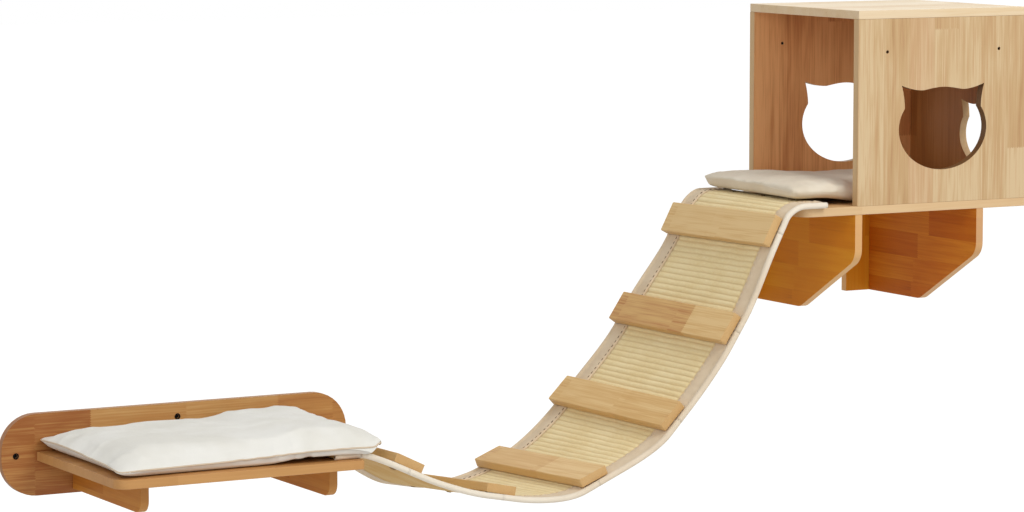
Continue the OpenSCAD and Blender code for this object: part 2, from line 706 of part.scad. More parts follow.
backboard();
backboard_cups();
lower_shelf();
lower_bracket_left();
lower_bracket_right();
lower_shelf_screws();
backboard_screws();
upper_shelf();
gusset_left();
gusset_right();
wall_plate_left();
wall_plate_right();
plate_screws();
gusset_screws();
house_front();
house_back();
house_side();
house_top();
house_dowels();
bridge_top_end();
bridge_top_screws();
bridge_bottom_end();
bridge_bottom_screws();
slat(1);  // slat_1
slat(2);  // slat_2
slat(3);  // slat_3
slat(4);  // slat_4
slat(5);  // slat_5
slat(6);  // slat_6
web(1);  // web_1
web(2);  // web_2
web(3);  // web_3
web(4);  // web_4
web(5);  // web_5
web(6);  // web_6
border(1);  // border_1
border(2);  // border_2
border(3);  // border_3
border(4);  // border_4
border(5);  // border_5
border(6);  // border_6
slat_screw_row(1);  // slat_screws_1
slat_screw_row(2);  // slat_screws_2
slat_screw_row(3);  // slat_screws_3
slat_screw_row(4);  // slat_screws_4
slat_screw_row(5);  // slat_screws_5
slat_screw_row(6);  // slat_screws_6
upper_cushion();
lower_cushion();
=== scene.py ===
"""Cat wall bridge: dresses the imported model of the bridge, its shelves and its house.

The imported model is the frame. Wooden boards, screws and cups keep their meshes and get finishes here.
The bridge's fabric, its borders and both cushions are built again, softer and finer, in the same places.
Lengths are in metres, with the wall at y = 0, the object towards -Y, and Z up.
"""
from __future__ import annotations

import json
import logging
import math
from dataclasses import dataclass, field, replace
from enum import Enum
from typing import Any, Mapping, Sequence

import bmesh
import bpy
from bpy.types import Material, Mesh, NodeTree, Object
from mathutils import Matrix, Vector, noise
from mathutils.bvhtree import BVHTree

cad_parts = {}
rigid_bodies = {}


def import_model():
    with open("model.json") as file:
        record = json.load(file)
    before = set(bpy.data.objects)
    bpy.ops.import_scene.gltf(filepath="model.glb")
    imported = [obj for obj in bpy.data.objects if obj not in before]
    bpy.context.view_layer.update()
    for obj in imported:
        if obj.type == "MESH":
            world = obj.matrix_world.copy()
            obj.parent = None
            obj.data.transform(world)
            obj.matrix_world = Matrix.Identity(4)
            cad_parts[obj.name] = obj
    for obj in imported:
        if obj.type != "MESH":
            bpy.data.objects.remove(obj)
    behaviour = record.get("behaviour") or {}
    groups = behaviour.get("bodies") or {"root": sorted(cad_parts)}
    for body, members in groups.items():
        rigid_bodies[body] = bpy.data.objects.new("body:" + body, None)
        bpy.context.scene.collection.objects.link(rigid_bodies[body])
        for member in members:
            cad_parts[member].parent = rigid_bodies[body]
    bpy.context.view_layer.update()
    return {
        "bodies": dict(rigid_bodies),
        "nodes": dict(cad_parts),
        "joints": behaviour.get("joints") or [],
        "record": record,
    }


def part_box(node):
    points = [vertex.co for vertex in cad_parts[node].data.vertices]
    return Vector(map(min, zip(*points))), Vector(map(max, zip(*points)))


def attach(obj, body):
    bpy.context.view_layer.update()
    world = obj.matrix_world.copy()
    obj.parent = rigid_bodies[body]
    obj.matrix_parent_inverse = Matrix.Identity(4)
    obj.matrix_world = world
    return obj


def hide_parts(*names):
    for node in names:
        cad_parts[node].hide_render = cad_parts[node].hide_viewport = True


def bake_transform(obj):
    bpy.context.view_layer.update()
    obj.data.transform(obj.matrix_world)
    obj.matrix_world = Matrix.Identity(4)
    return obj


log = logging.getLogger("cat_wall_bridge")
MM = 0.001
TURN = 2 * math.pi
BOARD = 16 * MM
WELD = 0.001 * MM
WHITE = (1.0, 1.0, 1.0, 1.0)
Colour = tuple[float, float, float, float]
X, Y, Z = Vector((1, 0, 0)), Vector((0, 1, 0)), Vector((0, 0, 1))


def tint(red: int, green: int, blue: int) -> Colour:
    """Turns a colour as seen, 0 to 255 a channel, into the linear values that shaders take.

    Args:
        red, green, blue: The colour's channels.

    Returns:
        The linear colour, opaque.
    """
    def linear(v: float) -> float:
        """Undoes one channel's display curve."""
        return v / 12.92 if v <= 0.04045 else ((v + 0.055) / 1.055) ** 2.4
    return (linear(red / 255), linear(green / 255), linear(blue / 255), 1.0)


def smooth(t: float) -> float:
    """Eases from 0 to 1, level at both ends."""
    t = min(1.0, max(0.0, t))
    return t * t * (3 - 2 * t)


def ease(value: float, low: float, high: float) -> float:
    """Eases from 0 where the value is low to 1 where it is high."""
    return smooth((value - low) / (high - low))


def middle_of(name: str) -> Vector:
    """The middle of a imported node's box."""
    low, high = (Vector(c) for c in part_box(name))
    return (low + high) / 2


# ---------------------------------------------------------------- node trees

class Graph:
    """Adds nodes to one tree, for a material or for Geometry Nodes."""

    def __init__(self, tree: NodeTree) -> None:
        """Keeps the tree that the nodes go into."""
        self.tree = tree

    def node(self, kind: str, settings: Mapping[str, Any] | None = None,
             values: Mapping[int | str, Any] | None = None) -> bpy.types.Node:
        """Makes a node.

        Args:
            kind: Blender's name for the node's type.
            settings: Its properties, which are set first.
            values: A number, a colour or a Wire for each input, by name or place.

        Returns:
            The new node.
        """
        made = self.tree.nodes.new(kind)
        for key, value in (settings or {}).items():
            setattr(made, key, value)
        for key, value in (values or {}).items():
            if isinstance(value, Wire):
                self.tree.links.new(value.socket, made.inputs[key])
            else:
                made.inputs[key].default_value = value
        return made

    def wire(self, kind: str, settings: Mapping[str, Any] | None = None,
             values: Mapping[int | str, Any] | None = None, out: int | str = 0) -> Wire:
        """Makes a node and returns one of its outputs, ready for expressions.

        Args:
            kind, settings, values: As for node.
            out: Which output, by name or place.

        Returns:
            The output.
        """
        return Wire(self, self.node(kind, settings, values).outputs[out])

    def mix(self, amount: Any, low: Any, high: Any) -> Wire:
        """Mixes two colours by an amount from 0 to 1."""
        return self.wire("ShaderNodeMix", {"data_type": "RGBA", "clamp_factor": True},
                         {0: amount, 6: low, 7: high}, out=2)

    def combine(self, x: Any, y: Any, z: Any) -> Wire:
        """Makes a vector of three numbers."""
        return self.wire("ShaderNodeCombineXYZ", None, {0: x, 1: y, 2: z})

    def noise(self, where: Wire, scale: float, detail: float = 2.0, roughness: float = 0.5,
              distortion: float = 0.0) -> Wire:
        """Smooth noise about 0.5 over a vector."""
        return self.wire("ShaderNodeTexNoise", {"noise_dimensions": "3D"},
                         {"Vector": where, "Scale": scale, "Detail": detail, "Roughness": roughness,
                          "Distortion": distortion})

    def chance(self, where: Wire) -> Wire:
        """An even random number from 0 to 1 for each whole-numbered vector."""
        return self.wire("ShaderNodeTexWhiteNoise", {"noise_dimensions": "3D"}, {"Vector": where})

    def seen_by(self, kind: str) -> Wire:
        """1 for the given kind of ray, such as Camera, else 0."""
        return self.wire("ShaderNodeLightPath", out=f"Is {kind} Ray")

    def end(self, kind: str, shader: Wire) -> None:
        """Ends the tree with an output node of a kind, fed by a shader."""
        self.node(kind, None, {"Surface": shader})


class Wire:
    """One output socket, with the operators that the finishes and trees use."""

    def __init__(self, graph: Graph, socket: bpy.types.NodeSocket) -> None:
        """Wraps the socket."""
        self.graph, self.socket = graph, socket

    def _math(self, operation: str, *values: Any) -> Wire:
        """Adds a Math node on the given values."""
        return self.graph.wire("ShaderNodeMath", {"operation": operation}, dict(enumerate(values)))

    def _vector(self, operation: str, *values: Any, out: int = 0) -> Wire:
        """Adds a Vector Math node on the given values."""
        return self.graph.wire("ShaderNodeVectorMath", {"operation": operation},
                               dict(enumerate((self, *values))), out)

    def __add__(self, other: Any) -> Wire:
        """self + other."""
        return self._math("ADD", self, other)

    def __sub__(self, other: Any) -> Wire:
        """self - other."""
        return self._math("SUBTRACT", self, other)

    def __rsub__(self, other: Any) -> Wire:
        """other - self."""
        return self._math("SUBTRACT", other, self)

    def __mul__(self, other: Any) -> Wire:
        """self * other."""
        return self._math("MULTIPLY", self, other)

    def __truediv__(self, other: Any) -> Wire:
        """self / other."""
        return self._math("DIVIDE", self, other)

    __radd__, __rmul__ = __add__, __mul__

    def floor(self) -> Wire:
        """The whole number below."""
        return self._math("FLOOR", self)

    def fraction(self) -> Wire:
        """What lies above the whole number below."""
        return self._math("FRACT", self)

    def absolute(self) -> Wire:
        """The value without its sign."""
        return self._math("ABSOLUTE", self)

    def power(self, exponent: float) -> Wire:
        """self to a power."""
        return self._math("POWER", self, exponent)

    def sine(self) -> Wire:
        """The sine of self, in radians."""
        return self._math("SINE", self)

    def above(self, limit: float) -> Wire:
        """1 where self is over the limit, else 0."""
        return self._math("GREATER_THAN", self, limit)

    def length(self) -> Wire:
        """The length of self, as a vector."""
        return self._vector("LENGTH", out=1)

    def larger(self, other: Any) -> Wire:
        """The larger of self and another value."""
        return self._math("MAXIMUM", self, other)

    def ramp(self, low: float, high: float) -> Wire:
        """Eases from 0 at low to 1 at high."""
        return self.graph.wire("ShaderNodeMapRange", {"interpolation_type": "SMOOTHSTEP", "clamp": True},
                               {0: self, 1: low, 2: high, 3: 0.0, 4: 1.0})

    def dot(self, direction: Vector) -> Wire:
        """How far self reaches along a direction."""
        return self._vector("DOT_PRODUCT", tuple(direction), out=1)

    def shifted(self, by: Any) -> Wire:
        """self, as a vector, plus another."""
        return self._vector("ADD", by)

    def scaled(self, by: Any) -> Wire:
        """self, as a vector, times a number."""
        return self.graph.wire("ShaderNodeVectorMath", {"operation": "SCALE"}, {0: self, "Scale": by})


class Paint:
    """A material in the making: its graph, its coordinates and its surface shader."""

    def __init__(self, name: str) -> None:
        """Starts an empty material.

        Args:
            name: The material's name.
        """
        self.material = bpy.data.materials.new(name)
        self.material.use_nodes = True
        self.material.node_tree.nodes.clear()
        self.graph = Graph(self.material.node_tree)

    def place(self) -> Wire:
        """Object coordinates, in metres."""
        return self.graph.wire("ShaderNodeTexCoord", out="Object")

    def facing(self) -> Wire:
        """The surface's normal in the object's own axes."""
        return self.graph.wire("ShaderNodeTexCoord", out="Normal")

    def laid(self) -> Wire:
        """The place on the flat cloth, across and along it, in metres."""
        return self.graph.wire("ShaderNodeUVMap", {"uv_map": Course.MAP})

    def finish(self, colour: Any, roughness: Any, relief: Wire | None = None, depth: float = 0.0,
               **fixed: float) -> Material:
        """Ends the material with one Principled shader.

        Args:
            colour: Base colour, as a value or a Wire.
            roughness: Roughness, as a number or a Wire.
            relief: Height for the bump, 0 to 1, if any.
            depth: How deep that relief is, in metres.
            **fixed: Other inputs that are the same all over, with underscores for spaces.

        Returns:
            The finished material.
        """
        values: dict[int | str, Any] = {"Base Color": colour, "Roughness": roughness}
        values.update({key.replace("_", " "): value for key, value in fixed.items()})
        if relief is not None:
            values["Normal"] = self.graph.wire("ShaderNodeBump", None,
                                               {"Strength": 1.0, "Distance": depth, "Height": relief})
        shader = self.graph.wire("ShaderNodeBsdfPrincipled", None, values)
        self.graph.end("ShaderNodeOutputMaterial", shader)
        return self.material


# ---------------------------------------------------------------- finishes

@dataclass(frozen=True)
class Grain:
    """How a board's wood lies.

    Attributes:
        origin: Where its pattern starts.
        fibres, staves: Which way its fibres run, and across which way its staves lie.
        blocks: Tones of its finger-jointed blocks, each as (end along the fibres, tone), if they are known.
        inside: The direction of its inner face, whose wood is darkened by a painted shade for the house's
            dim interior, if it has one.
        shade_rimmed_cuts: Its cut-outs, whose edges are darkened by a painted shade, each as (centre,
            radius around it).
    """

    origin: Vector
    fibres: Vector
    staves: Vector
    blocks: tuple[tuple[float, float], ...] = ()
    inside: Vector | None = None
    shade_rimmed_cuts: tuple[tuple[Vector, float], ...] = ()

    def square(self) -> Vector:
        """The direction square to the board's broad face."""
        return self.fibres.cross(self.staves)


@dataclass(frozen=True)
class WoodFinish:
    """Edge-glued, finger-jointed solid wood under a satin lacquer.

    Attributes:
        pale, middle, deep: Its colours from the lightest stave to the darkest streak.
        edge: Colour of the board's narrow edges, partly their end and side grain and partly painted light
            and shade by which way they face.
        red: Colour of its redder staves, and blush how strongly they show.
        inner, inner_shade_deep: Colours of the board's inner face, a painted shade for the house's dim
            interior.
        cut: Colour of the narrow edges of its cut-outs, a painted shade for the shade in the window and the
            screw holes.
        stave: Width of a stave.
        block: Length of a finger-jointed block in a stave.
        contrast: How far blocks differ in tone, 0 to 1.
        figure, streaks: How strongly the growth rings and the fibres' streaks show.
        tooth: Width of a tooth of the finger joints.
        gloss, shine: Roughness and strength of the lacquer's reflection.
    """

    RINGS, STREAKS, BROAD, CLOUDS, PORES = 30.0, 430.0, 60.0, 9.0, 900.0  # patterns to the metre
    RING_LINES = 13.0  # lines over the rings' whole range
    FIRST_STAVE = 0.37  # share of a stave from its edge to the board's middle
    RELIEF = 0.10 * MM

    name: str
    pale: Colour
    middle: Colour
    deep: Colour
    edge: Colour
    stave: float
    block: float
    contrast: float = 0.8
    figure: float = 0.5
    streaks: float = 1.25
    red: Colour = (0.5, 0.3, 0.16, 1)
    blush: float = 0.0
    inner: Colour = (0.4, 0.2, 0.08, 1)
    inner_shade_deep: Colour = (0.3, 0.12, 0.04, 1)
    cut: Colour = (0.10, 0.036, 0.007, 1)
    tooth: float = 0.004
    gloss: float = 0.46
    shine: float = 0.3

    def material(self, key: str, grain: Grain) -> Material:
        """Builds the wood for one board.

        Args:
            key: The board's name, for the material's name.
            grain: How its wood lies.

        Returns:
            The material.
        """
        paint = Paint(f"{self.name}_{key}")
        g = paint.graph
        point = paint.place().shifted(tuple(-grain.origin))
        along, across, deep = (point.dot(v) for v in (grain.fibres, grain.staves, grain.square()))
        staves = across / self.stave + self.FIRST_STAVE
        stave = staves.floor()
        fingers = ((across / self.tooth).fraction() - 0.5).absolute() * (self.tooth * 1.6)
        joint = along + fingers
        block = (joint / self.block + g.chance(g.combine(stave, 3.0, 7.0)) * 5.3).floor()
        chance = g.chance(g.combine(stave, block, 11.0))
        tone = self._planned(joint, grain) if grain.blocks else chance
        second = g.chance(g.combine(block, stave, 23.0))
        shifted = g.combine(along * 0.05, across + chance * 0.31, deep + second * 0.17)
        rings = g.noise(shifted, self.RINGS, 1.4, 0.45, 0.2)
        line = ((rings * self.RING_LINES).fraction() * 2.0 - 1.0).absolute().power(1.6)
        streak = g.noise(g.combine(along * 0.022, across + chance * 0.2, deep), self.STREAKS, 3.0, 0.62)
        broad = g.noise(g.combine(along * 0.06, across + chance * 0.4, deep), self.BROAD)
        cloud = g.noise(point, self.CLOUDS)
        shade = (tone * self.contrast + line * self.figure * 0.4 + (streak - 0.5) * self.streaks
                 + (broad - 0.5) * self.streaks + (cloud - 0.5) * 0.45)
        colour = g.mix(shade.ramp(-0.15, 0.6), self.pale, self.middle)
        colour = g.mix(shade.ramp(0.5, 1.3), colour, self.deep)
        redder = second.ramp(0.45, 1.0) * 0.4 + streak.ramp(0.5, 0.7) * 0.6
        colour = g.mix(redder * self.blush, colour, self.red)
        seam = (staves.fraction() - 0.5).absolute().ramp(0.492, 0.5)
        colour = g.mix(seam * 0.3, colour, self.deep)
        facing = paint.facing()
        # Painted shade: faces turned to the house's interior take the darker inner colours, standing for
        # the shade in there.
        if grain.inside is not None:
            dark = g.mix(shade.ramp(-0.1, 1.0) * 0.75, self.inner, self.inner_shade_deep)
            colour = g.mix(facing.dot(grain.inside).ramp(0.4, 0.8) * 0.85, colour, dark)
        # Edge colour: partly end and side grain, partly painted light and shade, paler on the brackets' lit
        # front edges and darker on the panels' shaded edges.
        narrow = 1.0 - facing.dot(grain.square()).absolute().ramp(0.35, 0.8)
        colour = g.mix(narrow * 0.62, colour, self.edge)
        # Painted shade: the edges of the window and the screw holes are darkened.
        for centre, radius in grain.shade_rimmed_cuts:
            away = paint.place().shifted(tuple(-centre)).length()
            colour = g.mix(narrow * (1.0 - away.above(radius)) * 0.9, colour, self.cut)
        ends = facing.dot(grain.fibres).absolute().ramp(0.6, 0.9)
        pores = g.noise(g.combine(across, deep, along * 0.1), self.PORES, 2.0, 0.7)
        colour = g.mix(ends * (0.06 + pores * 0.2), colour, self.deep)
        return paint.finish(colour, streak * 0.06 + (self.gloss - 0.03), streak * 0.7 + line * 0.3,
                            self.RELIEF, Specular_IOR_Level=self.shine, Coat_Weight=self.shine * 0.13,
                            Coat_Roughness=0.35)

    @staticmethod
    def _planned(joint: Wire, grain: Grain) -> Wire:
        """The tone of the block at a place along the board, from the grain's own list.

        Args:
            joint: The place along the board, past its fingers.
            grain: The grain with the list.

        Returns:
            The tone.
        """
        (end, tone), *later = grain.blocks
        made: Wire | float = tone
        for next_end, next_tone in later:
            made = joint.above(end) * (next_tone - tone) + made
            end, tone = next_end, next_tone
        return made if isinstance(made, Wire) else joint * 0.0 + made


@dataclass(frozen=True)
class ClothFinish:
    """Woven cloth, with its weave as relief and soft mottling.

    Attributes:
        base, shade, light: Main colour, the colour in its hollows and on its highest threads.
        weave: Distance from thread to thread.
        depth: Height of the weave.
        mottle: Size of the soft patches.
    """

    name: str
    base: Colour
    shade: Colour
    light: Colour
    weave: float = 0.0013
    depth: float = 0.00025
    mottle: float = 0.05

    def material(self) -> Material:
        """Builds the cloth on Object coordinates.

        Returns:
            The material.
        """
        paint = Paint(self.name)
        g = paint.graph
        point = paint.place()
        _, colour = self._mottled(g, point, 0.18)
        crossing = self._crossing(point.dot(X), point.dot(Y) + point.dot(Z) * 0.7)
        threads = crossing * 0.22 + 0.28 + g.noise(point, 1600.0, 2.0, 0.6) * 0.5
        colour = g.mix(threads * 0.35, colour, self.light)
        return paint.finish(colour, 0.92, threads, self.depth, Sheen_Weight=0.12)

    def _mottled(self, g: Graph, place: Wire, spread: float = 0.2, ragged: float = 0.55
                 ) -> tuple[Wire, Wire]:
        """Lays soft patches of the cloth's shade over its main colour.

        Args:
            g: The material's graph.
            place: Where on the cloth.
            spread: How softly the patches end.
            ragged: Roughness of their outline.

        Returns:
            The patches, from 0 to 1, and the colour.
        """
        patches = g.noise(place, 1.0 / self.mottle, 3.0, ragged)
        return patches, g.mix(patches.ramp(0.5 - spread, 0.5 + spread), self.shade, self.base)

    def _crossing(self, u: Wire, v: Wire, ratio: float = 1.0) -> Wire:
        """Height of threads that cross, from -1 to 1, where v may have another pitch by a ratio."""
        turn = TURN / self.weave
        return (u * turn).sine() * (v * (turn * ratio)).sine()


@dataclass(frozen=True)
class RibbedFinish(ClothFinish):
    """The bridge's woven ribs: cords laid across it, with painted shade darkening the grooves between them,
    and a darker underside.
    """

    groove_shade: Colour = (0.3, 0.2, 0.1, 1)
    below: Colour = (0.4, 0.3, 0.15, 1)

    def material(self) -> Material:
        """Builds the ribbed cloth on its own map and its rib height.

        Returns:
            The material.
        """
        paint = Paint(self.name)
        g = paint.graph
        laid = paint.laid()
        height, side = (g.wire("ShaderNodeAttribute", {"attribute_name": name}, out="Fac")
                        for name in (WebStrip.HEIGHT, WebStrip.UPPER))
        u, v = laid.dot(X), laid.dot(Y)
        patches, colour = self._mottled(g, laid, ragged=0.6)
        strands = g.noise(g.combine(u * 0.12, v, 0.0), 900.0, 2.0, 0.6)
        stitch = self._crossing(u, v, 0.5) * 0.5 + 0.5
        colour = g.mix(strands.ramp(0.42, 0.75) * 0.5, colour, self.light)
        # Painted shade: the grooves between the ribs are darkened.
        colour = g.mix(1.0 - height.ramp(0.05, 0.75), colour, self.groove_shade)
        colour = g.mix(1.0 - side, colour, g.mix(patches.ramp(0.3, 0.7) * 0.4, self.below, self.shade))
        return paint.finish(colour, 0.95, stitch * 0.5 + strands * 0.5, self.depth, Sheen_Weight=0.1)


@dataclass(frozen=True)
class BorderFinish(ClothFinish):
    """Bound border: a plain tape, with a paler rolled cord in its outer edge.

    Attributes:
        roll: The rolled edge's colour.
        roll_from: How far from the bridge's middle it starts.
        plain_from, plain_to: The stretch down the bridge where it is hardly paler, each as (low, high).
    """

    roll: Colour = (0.8, 0.75, 0.7, 1)
    roll_from: float = 0.174
    plain_from: tuple[float, float] = (0.08, 0.18)
    plain_to: tuple[float, float] = (0.66, 0.80)

    def material(self) -> Material:
        """Builds the border's cloth on its own map.

        Returns:
            The material.
        """
        paint = Paint(self.name)
        g = paint.graph
        laid = paint.laid()
        u, v = laid.dot(X), laid.dot(Y)
        patches, colour = self._mottled(g, laid)
        threads = self._crossing(u, v) * 0.3 + 0.3 + g.noise(laid, 1500.0, 2.0, 0.6) * 0.4
        colour = g.mix(threads * 0.3, colour, self.light)
        front = u.ramp(self.roll_from, self.roll_from + 0.004)
        wall = (0.0 - u).ramp(self.roll_from + 0.006, self.roll_from + 0.012)
        outer = front + wall * 0.35
        plain = v.ramp(*self.plain_from) - v.ramp(*self.plain_to)
        colour = g.mix(outer * (patches * 0.25 + 0.72) * (1.0 - plain * 0.6), colour, self.roll)
        return paint.finish(colour, 0.9, threads, self.depth, Sheen_Weight=0.12)


@dataclass(frozen=True)
class MetalFinish:
    """Plain metal with faint handling marks, bare or painted."""

    name: str
    colour: Colour
    roughness: float
    metallic: float
    shine: float = 0.5

    def material(self) -> Material:
        """Builds the metal on Object coordinates.

        Returns:
            The material.
        """
        paint = Paint(self.name)
        g = paint.graph
        marks = g.noise(paint.place(), 700.0, 3.0, 0.6)
        dull = tuple(c * 0.7 for c in self.colour[:3]) + (1.0,)
        colour = g.mix(marks.ramp(0.35, 0.7), dull, self.colour)
        return paint.finish(colour, marks * 0.14 + (self.roughness - 0.07), marks, 0.02 * MM,
                            Metallic=self.metallic, Specular_IOR_Level=self.shine)


@dataclass(frozen=True)
class ThreadFinish:
    """Sewing thread, with one turn of its twist in each length of twist."""

    name: str
    colour: Colour
    twist: float = 0.9 * MM

    def material(self) -> Material:
        """Builds the thread on Object coordinates.

        Returns:
            The material.
        """
        paint = Paint(self.name)
        g = paint.graph
        point = paint.place()
        twist = ((point.dot(X) + point.dot(Z)) * (TURN / self.twist)).sine() * 0.5 + 0.5
        pale = tuple(min(1.0, c * 1.6 + 0.01) for c in self.colour[:3]) + (1.0,)
        return paint.finish(g.mix(twist * 0.6, self.colour, pale), 0.7, twist, 0.05 * MM)


class Timber(Enum):
    """The woods on the object."""

    # The inner colours of the house's boards are painted shade for its dim interior, deepest on the side
    # panel.
    PANEL = WoodFinish("panel_wood", tint(216, 189, 147), tint(199, 164, 118), tint(166, 120, 74),
                       tint(200, 168, 122), stave=0.056, block=2.3, contrast=0.45, figure=0.4, streaks=1.5,
                       red=tint(206, 160, 122), blush=0.7, inner=tint(246, 180, 118),
                       inner_shade_deep=tint(190, 112, 58))
    SIDE = replace(PANEL, name="side_panel_wood", inner=tint(160, 92, 16), inner_shade_deep=tint(120, 60, 6))
    # The top panel's paler wood is painted light, for the light falling on it from above; its inner colour
    # is painted shade.
    TOP = replace(PANEL, name="lit_top_panel_wood", pale=tint(250, 234, 206), middle=tint(240, 216, 176),
                  inner=tint(170, 108, 50), edge=tint(222, 194, 152), blush=0.3)
    SHELF = WoodFinish("shelf_wood", tint(228, 194, 146), tint(212, 170, 118), tint(180, 128, 78),
                       tint(224, 192, 148), stave=0.064, block=0.33, contrast=0.7, figure=0.3)
    LOWER = replace(SHELF, name="lower_shelf_wood", pale=tint(206, 154, 94), middle=tint(188, 134, 76),
                    deep=tint(146, 90, 46), edge=tint(200, 150, 92))
    # The bracket woods, here and in RED and LOW, are a darker, more saturated orange: partly their own
    # wood, partly painted shade for their shaded broad faces.
    GOLDEN = WoodFinish("bracket_wood", tint(226, 156, 42), tint(216, 136, 28), tint(182, 104, 20),
                        tint(234, 202, 154), stave=0.047, block=0.21, contrast=0.55, figure=0.35,
                        streaks=0.65, shine=0.14)
    RED = replace(GOLDEN, name="red_bracket_wood", pale=tint(218, 140, 44), middle=tint(194, 106, 24),
                  deep=tint(146, 68, 10))
    LOW = replace(GOLDEN, name="low_bracket_wood", pale=tint(204, 140, 58), middle=tint(188, 118, 42),
                  deep=tint(148, 84, 32), edge=tint(204, 154, 96))
    WALL_BOARD = WoodFinish("wall_board_wood", tint(200, 156, 98), tint(184, 132, 74), tint(154, 92, 44),
                            tint(160, 108, 60), stave=0.5, block=0.29, contrast=1.1, figure=0.4)
    SLAT = WoodFinish("slat_wood", tint(228, 194, 136), tint(212, 170, 106), tint(182, 122, 66),
                      tint(210, 174, 120), stave=0.5, block=0.17, contrast=0.8, figure=0.5)
    DOWEL = WoodFinish("dowel_wood", tint(226, 196, 150), tint(208, 170, 120), tint(176, 130, 84),
                       tint(208, 170, 120), stave=0.5, block=0.5)


# Finger-jointed blocks that show, each as (its end along the fibres, its tone)
BACKBOARD_BLOCKS = ((-0.165, 0.85), (0.20, 0.15), (1.0, 0.45))
SLAT_BLOCKS = (((-0.02, 0.10), (1, 0.0)), ((0.055, 0.95), (1, 0.15)), ((0.03, 0.35), (1, 0.45)),
               ((0.03, 0.60), (1, 0.15)), ((0.0, 0.30), (1, 0.55)), ((0.02, 0.45), (1, 0.70)))
RIBBED = RibbedFinish("ribbed_fabric", base=tint(242, 222, 172), shade=tint(234, 210, 154),
                      light=tint(250, 238, 200), groove_shade=tint(224, 198, 146), below=tint(206, 160, 76),
                      weave=0.0022, depth=0.0003, mottle=0.07)
BORDER = BorderFinish("border_fabric", base=tint(226, 204, 172), shade=tint(214, 190, 156),
                      light=tint(238, 222, 196), roll=tint(240, 230, 212), mottle=0.04)
UPPER_CLOTH = ClothFinish("upper_cushion_cloth", base=tint(230, 219, 198), shade=tint(218, 204, 180),
                          light=tint(240, 232, 216), mottle=0.09)
LOWER_CLOTH = ClothFinish("lower_cushion_cloth", base=tint(236, 234, 226), shade=tint(226, 223, 212),
                          light=tint(246, 245, 240), mottle=0.11)
PIPING = ClothFinish("cushion_piping", base=tint(212, 192, 166), shade=tint(200, 178, 150),
                     light=tint(224, 208, 186), mottle=0.03)
STEEL = MetalFinish("steel", (0.55, 0.55, 0.56, 1), 0.35, 1.0)
COATED = MetalFinish("sand_coated_steel", tint(178, 146, 98), 0.55, 0.0)
BLACK = MetalFinish("black_metal", (0.006, 0.005, 0.005, 1), 0.75, 0.0, shine=0.06)
DARK_THREAD = ThreadFinish("dark_border_thread", tint(96, 70, 46))
PALE_THREAD = ThreadFinish("pale_border_thread", tint(206, 182, 148))


# ---------------------------------------------------------------- mesh helpers

def new_object(name: str, data: bpy.types.ID) -> Object:
    """Puts a mesh, a lamp or a camera in the scene.

    Args:
        name: The object's name.
        data: What it shows or is.

    Returns:
        The object.
    """
    made = bpy.data.objects.new(name, data)
    bpy.context.scene.collection.objects.link(made)
    return made


def new_piece(name: str, mesh: Mesh, material: Material) -> Object:
    """Puts a mesh in the scene as an object with one material.

    Args:
        name: The piece's name.
        mesh: Its mesh.
        material: Its material.

    Returns:
        The piece.
    """
    mesh.materials.clear()
    mesh.materials.append(material)
    return new_object(name, mesh)


def set_input(modifier: bpy.types.NodesModifier, name: str, value: Any) -> None:
    """Sets a Geometry Nodes input by its socket's identifier.

    Args:
        modifier: The modifier.
        name: The input's name in its tree.
        value: What it is set to.
    """
    for item in modifier.node_group.interface.items_tree:
        if item.item_type == "SOCKET" and item.in_out == "INPUT" and item.name == name:
            modifier[item.identifier] = value
            return
    raise KeyError(name)


def add_nodes(target: Object, tree: NodeTree, values: Mapping[str, Any]) -> None:
    """Adds a Geometry Nodes modifier with its inputs set.

    Args:
        target: The object.
        tree: The tree.
        values: Each input's value, by name.
    """
    modifier = target.modifiers.new(tree.name, "NODES")
    modifier.node_group = tree
    for name, value in values.items():
        set_input(modifier, name, value)


def made_plain(target: Object) -> Object:
    """Replaces an object's mesh by the result of its modifiers, and removes them.

    Args:
        target: The object.

    Returns:
        The same object.
    """
    graph = bpy.context.evaluated_depsgraph_get()
    mesh = bpy.data.meshes.new_from_object(target.evaluated_get(graph), depsgraph=graph)
    target.modifiers.clear()
    old, target.data = target.data, mesh
    bpy.data.meshes.remove(old)
    return target


class GeometryTree:
    """A Geometry Nodes tree in the making, with named inputs."""

    def __init__(self, name: str, inputs: Mapping[str, str]) -> None:
        """Starts the tree.

        Args:
            name: The tree's name.
            inputs: Each input's name and its socket's type after NodeSocket.
        """
        self.tree = bpy.data.node_groups.new(name, "GeometryNodeTree")
        face = self.tree.interface
        face.new_socket("Geometry", in_out="INPUT", socket_type="NodeSocketGeometry")
        for key, kind in inputs.items():
            face.new_socket(key, in_out="INPUT", socket_type=f"NodeSocket{kind}")
        face.new_socket("Geometry", in_out="OUTPUT", socket_type="NodeSocketGeometry")
        self.graph = Graph(self.tree)
        self._entry = self.graph.node("NodeGroupInput")

    def given(self, name: str) -> Wire:
        """One of the tree's inputs."""
        return Wire(self.graph, self._entry.outputs[name])

    def close(self, geometry: Wire) -> NodeTree:
        """Ends the tree with a geometry."""
        self.graph.node("NodeGroupOutput", None, {0: geometry})
        return self.tree

    def close_real(self, geometry: Wire) -> NodeTree:
        """Ends the tree with a geometry made real, in the material that the tree is given.

        Args:
            geometry: The geometry.

        Returns:
            The tree.
        """
        real = self.graph.wire("GeometryNodeRealizeInstances", None, {"Geometry": geometry})
        return self.close(self.graph.wire("GeometryNodeSetMaterial", None,
                                          {"Geometry": real, "Material": self.given("Material")}))


